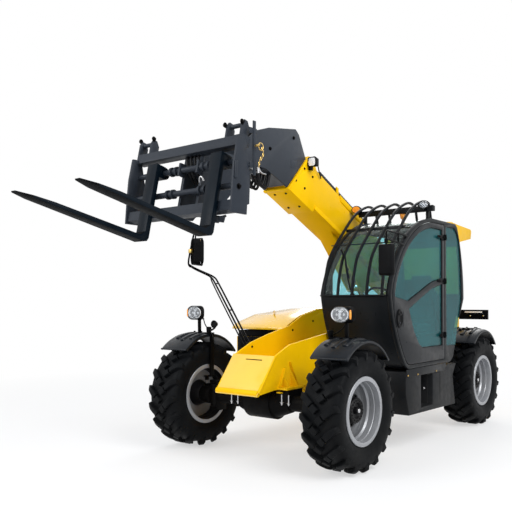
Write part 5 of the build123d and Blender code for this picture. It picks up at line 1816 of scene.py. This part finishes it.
slot = slab("nose_slot", [
    on_nose(-0.07, 1.021), on_nose(-0.07, 1.014), on_nose(0.145, 1.012), on_nose(0.145, 1.021)
], nose_face.normal * 0.0015, 0.0004)
put(slot, SEAL_RUBBER, "chassis", "trim_plastic")
bolts("inner_wall_bolts", "chassis", AXLE_PAINT, 0.016,
      [(at(x, -0.25, z), (0, 1, 0)) for x, z in ((-0.067, 1.119), (-0.801, 1.274), (-1.217, 1.371))])
upstand = sheet(1, "frame_upstand", [
    (-2.2, 1.4), (-1.35, 1.36), (-0.86, 1.3), (-0.752, 1.33), (-1.000, 1.442), (-1.35, 1.518), (-2.2, 1.543)
], -0.2735, 0.02)
put(soften(upstand, 0.004), YELLOW, "chassis", "yellow_paint")
studs = []
for x, y, top in ((0.19, -0.311, 0.64), (0.19, -0.224, 0.645), (0.19, 0.353, 0.684), (0.19, 0.439, 0.685)):
    studs.append(tube("stud", [(x, y, top), (x, y, top - 0.105)], 0.008, False))
    studs.append(hex_bolt("nut", 0.026, at(x, y, top - 0.075), (0, 0, -1)))
put(smooth(join("axle_studs", studs), 40), BRIGHT_STEEL, "chassis", "bright_steel")
print("nose details placed")

# %% Hood front
GRILLE_X = -0.78
# Painted shade: the two black walls across the hood's front face stand for the shade under the visor. The
# seven level slats at the outer end are the real grille; the upright slats over the rest belong to the
# painted shade.
wall = sheet(0, "wall", [
    (-1.085, 0.985), (-0.33, 0.985), (-0.33, 1.18), (-1.085, 1.18)
], GRILLE_X, 0.006, 0.003)
upper_shade_wall = sheet(0, "wall", [
    (-1.085, 1.17), (-0.3, 1.17), (-0.3, 1.315), (-1.085, 1.255)
], -0.8, 0.006, 0.003)
frame_parts = [wall, upper_shade_wall]
for i in range(7):
    z = 1.04 + 0.018 * i
    frame_parts.append(slab("slat", [
        at(GRILLE_X + 0.004, -1.033, z), at(GRILLE_X + 0.004, -0.935, z),
        at(GRILLE_X + 0.016, -0.935, z - 0.01), at(GRILLE_X + 0.016, -1.033, z - 0.01)
    ], (0, 0, 0.006), 0.0015, 1))
for i in range(9):
    y = -0.86 + 0.05 * i
    frame_parts.append(sheet(1, "slat", [
        (GRILLE_X + 0.004, 1.03), (GRILLE_X + 0.012, 1.03), (GRILLE_X + 0.012, 1.15), (GRILLE_X + 0.004, 1.15)
    ], y, 0.022, 0.002, 1))
put(join("hood_front_grille_and_painted_shade", frame_parts), BLACK_PAINT, "chassis", "dark_paint")
hood_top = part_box("engine_hood")[1].z
lug = sheet(1, "lug", [(-1.02, 1.43), (-0.98, 1.43), (-0.99, 1.456), (-1.01, 1.456)], -0.69, 0.02, 0.003)
ring_line = around(20, lambda c, s: at(-1.000 + 0.012 * c, -0.68 + 0.02 * c, 1.472 + 0.023 * s))
hood_ring = join("hood_lifting_ring", [lug, pipe("ring", ring_line, 0.005, False)])
put(smooth(hood_ring, 40), BRASS_BOLT, "hood", "bright_steel")
print("hood front placed, hood top at", round(hood_top, 3))

# %% Rear rod, lamps and hooks
ROD_Y = 1.085
BAR_FRONT_X, BAR_REAR_X, LENS_REAR_X = -4.161, -4.238, -4.258
HOOK_Y = 0.25
rod_parts = [tube("rod", [(-2.517, ROD_Y, 1.251), (-3.138, ROD_Y, 1.251)], 0.01, False)]
for x in (-2.56, -2.83, -3.1):
    rod_parts.append(sheet(1, "clamp", [
        (x - 0.016, 1.232), (x + 0.016, 1.232), (x + 0.016, 1.27), (x - 0.016, 1.27)
    ], 1.068, 0.034, 0.003))
put(join("rear_side_rod", rod_parts), BLACK_PAINT, "chassis", "dark_paint")
lamp_parts, reds, ambers = [], [], []
for s in (1, -1):
    for y, kind in ((0.64, reds), (0.76, ambers)):
        lamp_parts.append(sheet(0, "housing", [
            (s * y - 0.05, 1.39), (s * y + 0.05, 1.39), (s * y + 0.05, 1.484), (s * y - 0.05, 1.484)
        ], BAR_REAR_X, -0.022, 0.006))
        kind.append(sheet(0, "lens", [
            (s * y - 0.042, 1.398), (s * y + 0.042, 1.398), (s * y + 0.042, 1.476), (s * y - 0.042, 1.476)
        ], LENS_REAR_X, -0.012, 0.005))
put(join("tail_lamp_housings", lamp_parts), BLACK_PLASTIC, "chassis", "trim_plastic")
# The red and amber lenses have a faint painted glow.
put(join("tail_lamps_red", reds), LENS_RED, "chassis", "trim_plastic")
put(join("tail_lamps_amber", ambers), LENS_AMBER, "chassis", "trim_plastic")
stripe = sheet(0, "lamp_bar_stripe", [
    (0.513, 1.446), (0.78, 1.446), (0.78, 1.466), (0.513, 1.466)
], BAR_FRONT_X, 0.003, 0.001)
put(stripe, WHITE_TAPE, "chassis", "trim_plastic")
bolts(
    "lamp_bar_bolts", "chassis", ZINC, 0.012,
    [(at(BAR_FRONT_X, s * y, 1.4), (1, 0, 0)) for y in (0.6, 0.8) for s in (1, -1)]
)
hooks = []
for s in (1, -1):
    arch = [
        at(-4.385, s * HOOK_Y, 0.98), at(-4.43, s * HOOK_Y, 0.985), at(-4.44, s * HOOK_Y, 0.94),
        at(-4.43, s * HOOK_Y, 0.895), at(-4.385, s * HOOK_Y, 0.9)
    ]
    hooks.append(pipe("hook", arch, 0.012))
put(smooth(join("tail_hooks", hooks), 50), BLACK_PAINT, "chassis", "dark_paint")
small = spun("small_front_lamp", [
    (-0.03, 0.001), (-0.03, 0.026), (0.0, 0.042), (0.012, 0.044), (0.012, 0.036), (0.002, 0.03),
    (0.002, 0.001)
], 24, at(0.01, -0.735, 1.355), (1, 0, 0))
put(smooth(small, 40), BLACK_PLASTIC, "knuckle_body_fr", "trim_plastic")
small_stem = tube("small_lamp_stem", [
    (-0.01, -0.735, 1.33), (-0.012, -0.765, 1.29), (-0.03, -0.86, 1.275)
], 0.01)
put(smooth(small_stem, 50), BLACK_PAINT, "knuckle_body_fr", "dark_paint")
print("tail and small lamp placed")

# %% [markdown]
# ## Seat and steering wheel
# The seat has a cushion and a back of vinyl over foam. Each pad starts as a block with round corners, a
# little smaller than the space it may fill. It is remeshed evenly, blown up by the cloth solver so that
# its faces crown and its seams pull in, and then the sewn channels are pressed into it. No point may move
# further than a set cap.

# %% Vinyl
def vinyl(name, colour):
    """Black seat vinyl: fine leather grain from small cells, with a soft sheen."""
    mat, shader, add = new_finish(name)
    links = mat.node_tree.links
    place = add("ShaderNodeTexCoord")
    cells = add("ShaderNodeTexVoronoi")
    cells.inputs["Scale"].default_value = 420.0
    links.new(place.outputs["Object"], cells.inputs["Vector"])
    tone = ramp(mat, add, noise(mat, add, 7.0, 6.0), 0.3, 0.75)
    links.new(blend_colours(
        mat, add, tone, colour, tuple(c * 1.6 for c in colour)
    ), shader.inputs["Base Color"])
    links.new(ramp(mat, add, cells.outputs["Distance"], 0.0, 0.7, 0.52, 0.4), shader.inputs["Roughness"])
    dials(shader, {"Specular IOR Level": 0.3, "Sheen Weight": 0.1})
    bumpy(mat, shader, add, cells.outputs["Distance"], 0.0006, 0.5)
    return mat


VINYL = vinyl("seat_vinyl", (0.012, 0.013, 0.014))
print("vinyl ready")


# %% Pads
def pad(name, low, high, round_by, cap, lean=0.0, about=(0, 0, 0)):
    """A padded block between two corners, swollen by cloth pressure."""
    sides = [b - a - cap * 1.2 for a, b in zip(low, high)]
    block = cube(name, sides, [(a + b) / 2 for a, b in zip(low, high)])
    with editing(block):
        bpy.ops.mesh.bevel(offset=round_by, segments=3, affect="EDGES")
    block.data.remesh_voxel_size = 0.008
    bpy.ops.object.voxel_remesh()
    start = [v.co.copy() for v in block.data.vertices]
    cloth = block.modifiers.new("swell", "CLOTH")
    cloth.settings.use_pressure = True
    cloth.settings.uniform_pressure_force = 4.0
    cloth.settings.effector_weights.gravity = 0.0
    cloth.point_cache.frame_start = 1
    cloth.point_cache.frame_end = 20
    for step in range(1, 21):
        bpy.context.scene.frame_set(step)
    apply_all(block)
    bpy.context.scene.frame_set(1)
    for vertex, was in zip(block.data.vertices, start):
        shift = vertex.co - was
        if shift.length > cap:
            vertex.co = was + shift.normalized() * cap
    rotated(block, lean, (0, 1, 0), about)
    return block


def channel(block, axis, where, facing, deep=0.007, wide=0.012):
    """A sewn channel: points near a line on the facing side are pressed in."""
    facing = Vector(facing)
    for vertex in block.data.vertices:
        off = abs(vertex.co[axis] - where)
        if off < wide and vertex.normal.dot(facing) > 0.5:
            vertex.co -= facing * deep * (1 - (off / wide) ** 2)


cushion = pad("seat_cushion", at(-2.05, 0.485, 1.234), at(-1.6, 0.965, 1.34), 0.026, 0.014)
for y in (0.59, 0.86):
    channel(cushion, 1, y, (0, 0, 1))
channel(cushion, 0, FRONT_X - 1.83, (0, 0, 1))
lean_about = at(-2.12, 0.725, 1.23)
seat_back = pad("seat_backrest", at(-2.18, 0.5, 1.365), at(-2.082, 0.95, 1.76), 0.026, 0.012, -6, lean_about)
for y in (0.6, 0.85):
    channel(seat_back, 1, y, (1, 0, 0.1))
channel(seat_back, 2, 1.56, (1, 0, 0.1))
headrest = pad("seat_headrest", at(-2.172, 0.59, 1.785), at(-2.09, 0.86, 1.945), 0.024, 0.01, -6, lean_about)
for piece in (cushion, seat_back, headrest):
    finish_with(piece, VINYL)
    divide = piece.modifiers.new("fine", "SUBSURF")
    divide.levels = divide.render_levels = 1
    apply_all(piece)
    smooth(piece, 80)
fit(cushion, "chassis", "seat_vinyl", "seat_pads")
fit(seat_back, "chassis", "seat_vinyl")
fit(headrest, "chassis", "seat_vinyl")
print("pads with faces", [len(p.data.polygons) for p in (cushion, seat_back, headrest)])

# %% Steering wheel and levers
WHEEL_AT = at(-1.165, 0.725, 1.622)
wheel_axis = Vector((-190, 0, 160)).normalized()
section = around(10, lambda c, s: (0.0135 * c, 0.18 + 0.0135 * s))[:-1]
wheel_parts = [spun("rim", section, 48, WHEEL_AT, wheel_axis)]
across = Vector((0, 1, 0))
up = wheel_axis.cross(across)
for a in (90, 210, 330):
    way = across * math.cos(math.radians(a)) + up * math.sin(math.radians(a))
    wheel_parts.append(pipe("spoke", [
        WHEEL_AT + way * 0.03 - wheel_axis * 0.012, WHEEL_AT + way * 0.175
    ], 0.009, False))
wheel_parts.append(spun("hub", [
    (-0.03, 0.002), (-0.03, 0.03), (0.006, 0.044), (0.014, 0.036), (0.016, 0.002)
], 28, WHEEL_AT, wheel_axis))
knob_at = WHEEL_AT + (across * 0.9 + up * 0.43).normalized() * 0.18
wheel_parts.append(spun("knob", [
    (0.01, 0.002), (0.01, 0.012), (0.03, 0.018), (0.048, 0.016), (0.052, 0.002)
], 18, knob_at, wheel_axis))
put(
    smooth(join("steering_wheel_ring", wheel_parts), 45), BLACK_PLASTIC, "chassis", "trim_plastic",
    "steering_wheel"
)
levers = [
    tube("joystick", [(-1.7, 0.42, 1.28), (-1.7, 0.42, 1.38), (-1.69, 0.425, 1.42)], 0.009),
    spun("grip", [
        (0, 0.002), (0, 0.016), (0.04, 0.022), (0.09, 0.02), (0.104, 0.002)
    ], 18, at(-1.69, 0.425, 1.41), (0.1, 0, 1)),
    sheet(1, "arm_rest", [
        (-2.000, 1.25), (-1.64, 1.25), (-1.64, 1.285), (-2.000, 1.285)
    ], 0.375, 0.085, 0.01),
    tube("column_lever", [(-1.08, 0.76, 1.56), (-1.09, 0.84, 1.59), (-1.095, 0.89, 1.6)], 0.006),
]
put(smooth(join("levers_and_arm_rest", levers), 45), BLACK_PLASTIC, "chassis", "trim_plastic")
print("steering wheel placed")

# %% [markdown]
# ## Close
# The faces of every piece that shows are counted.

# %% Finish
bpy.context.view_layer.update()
total = sum(len(o.data.polygons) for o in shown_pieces() if o.type == "MESH")
print("faces in all", total)
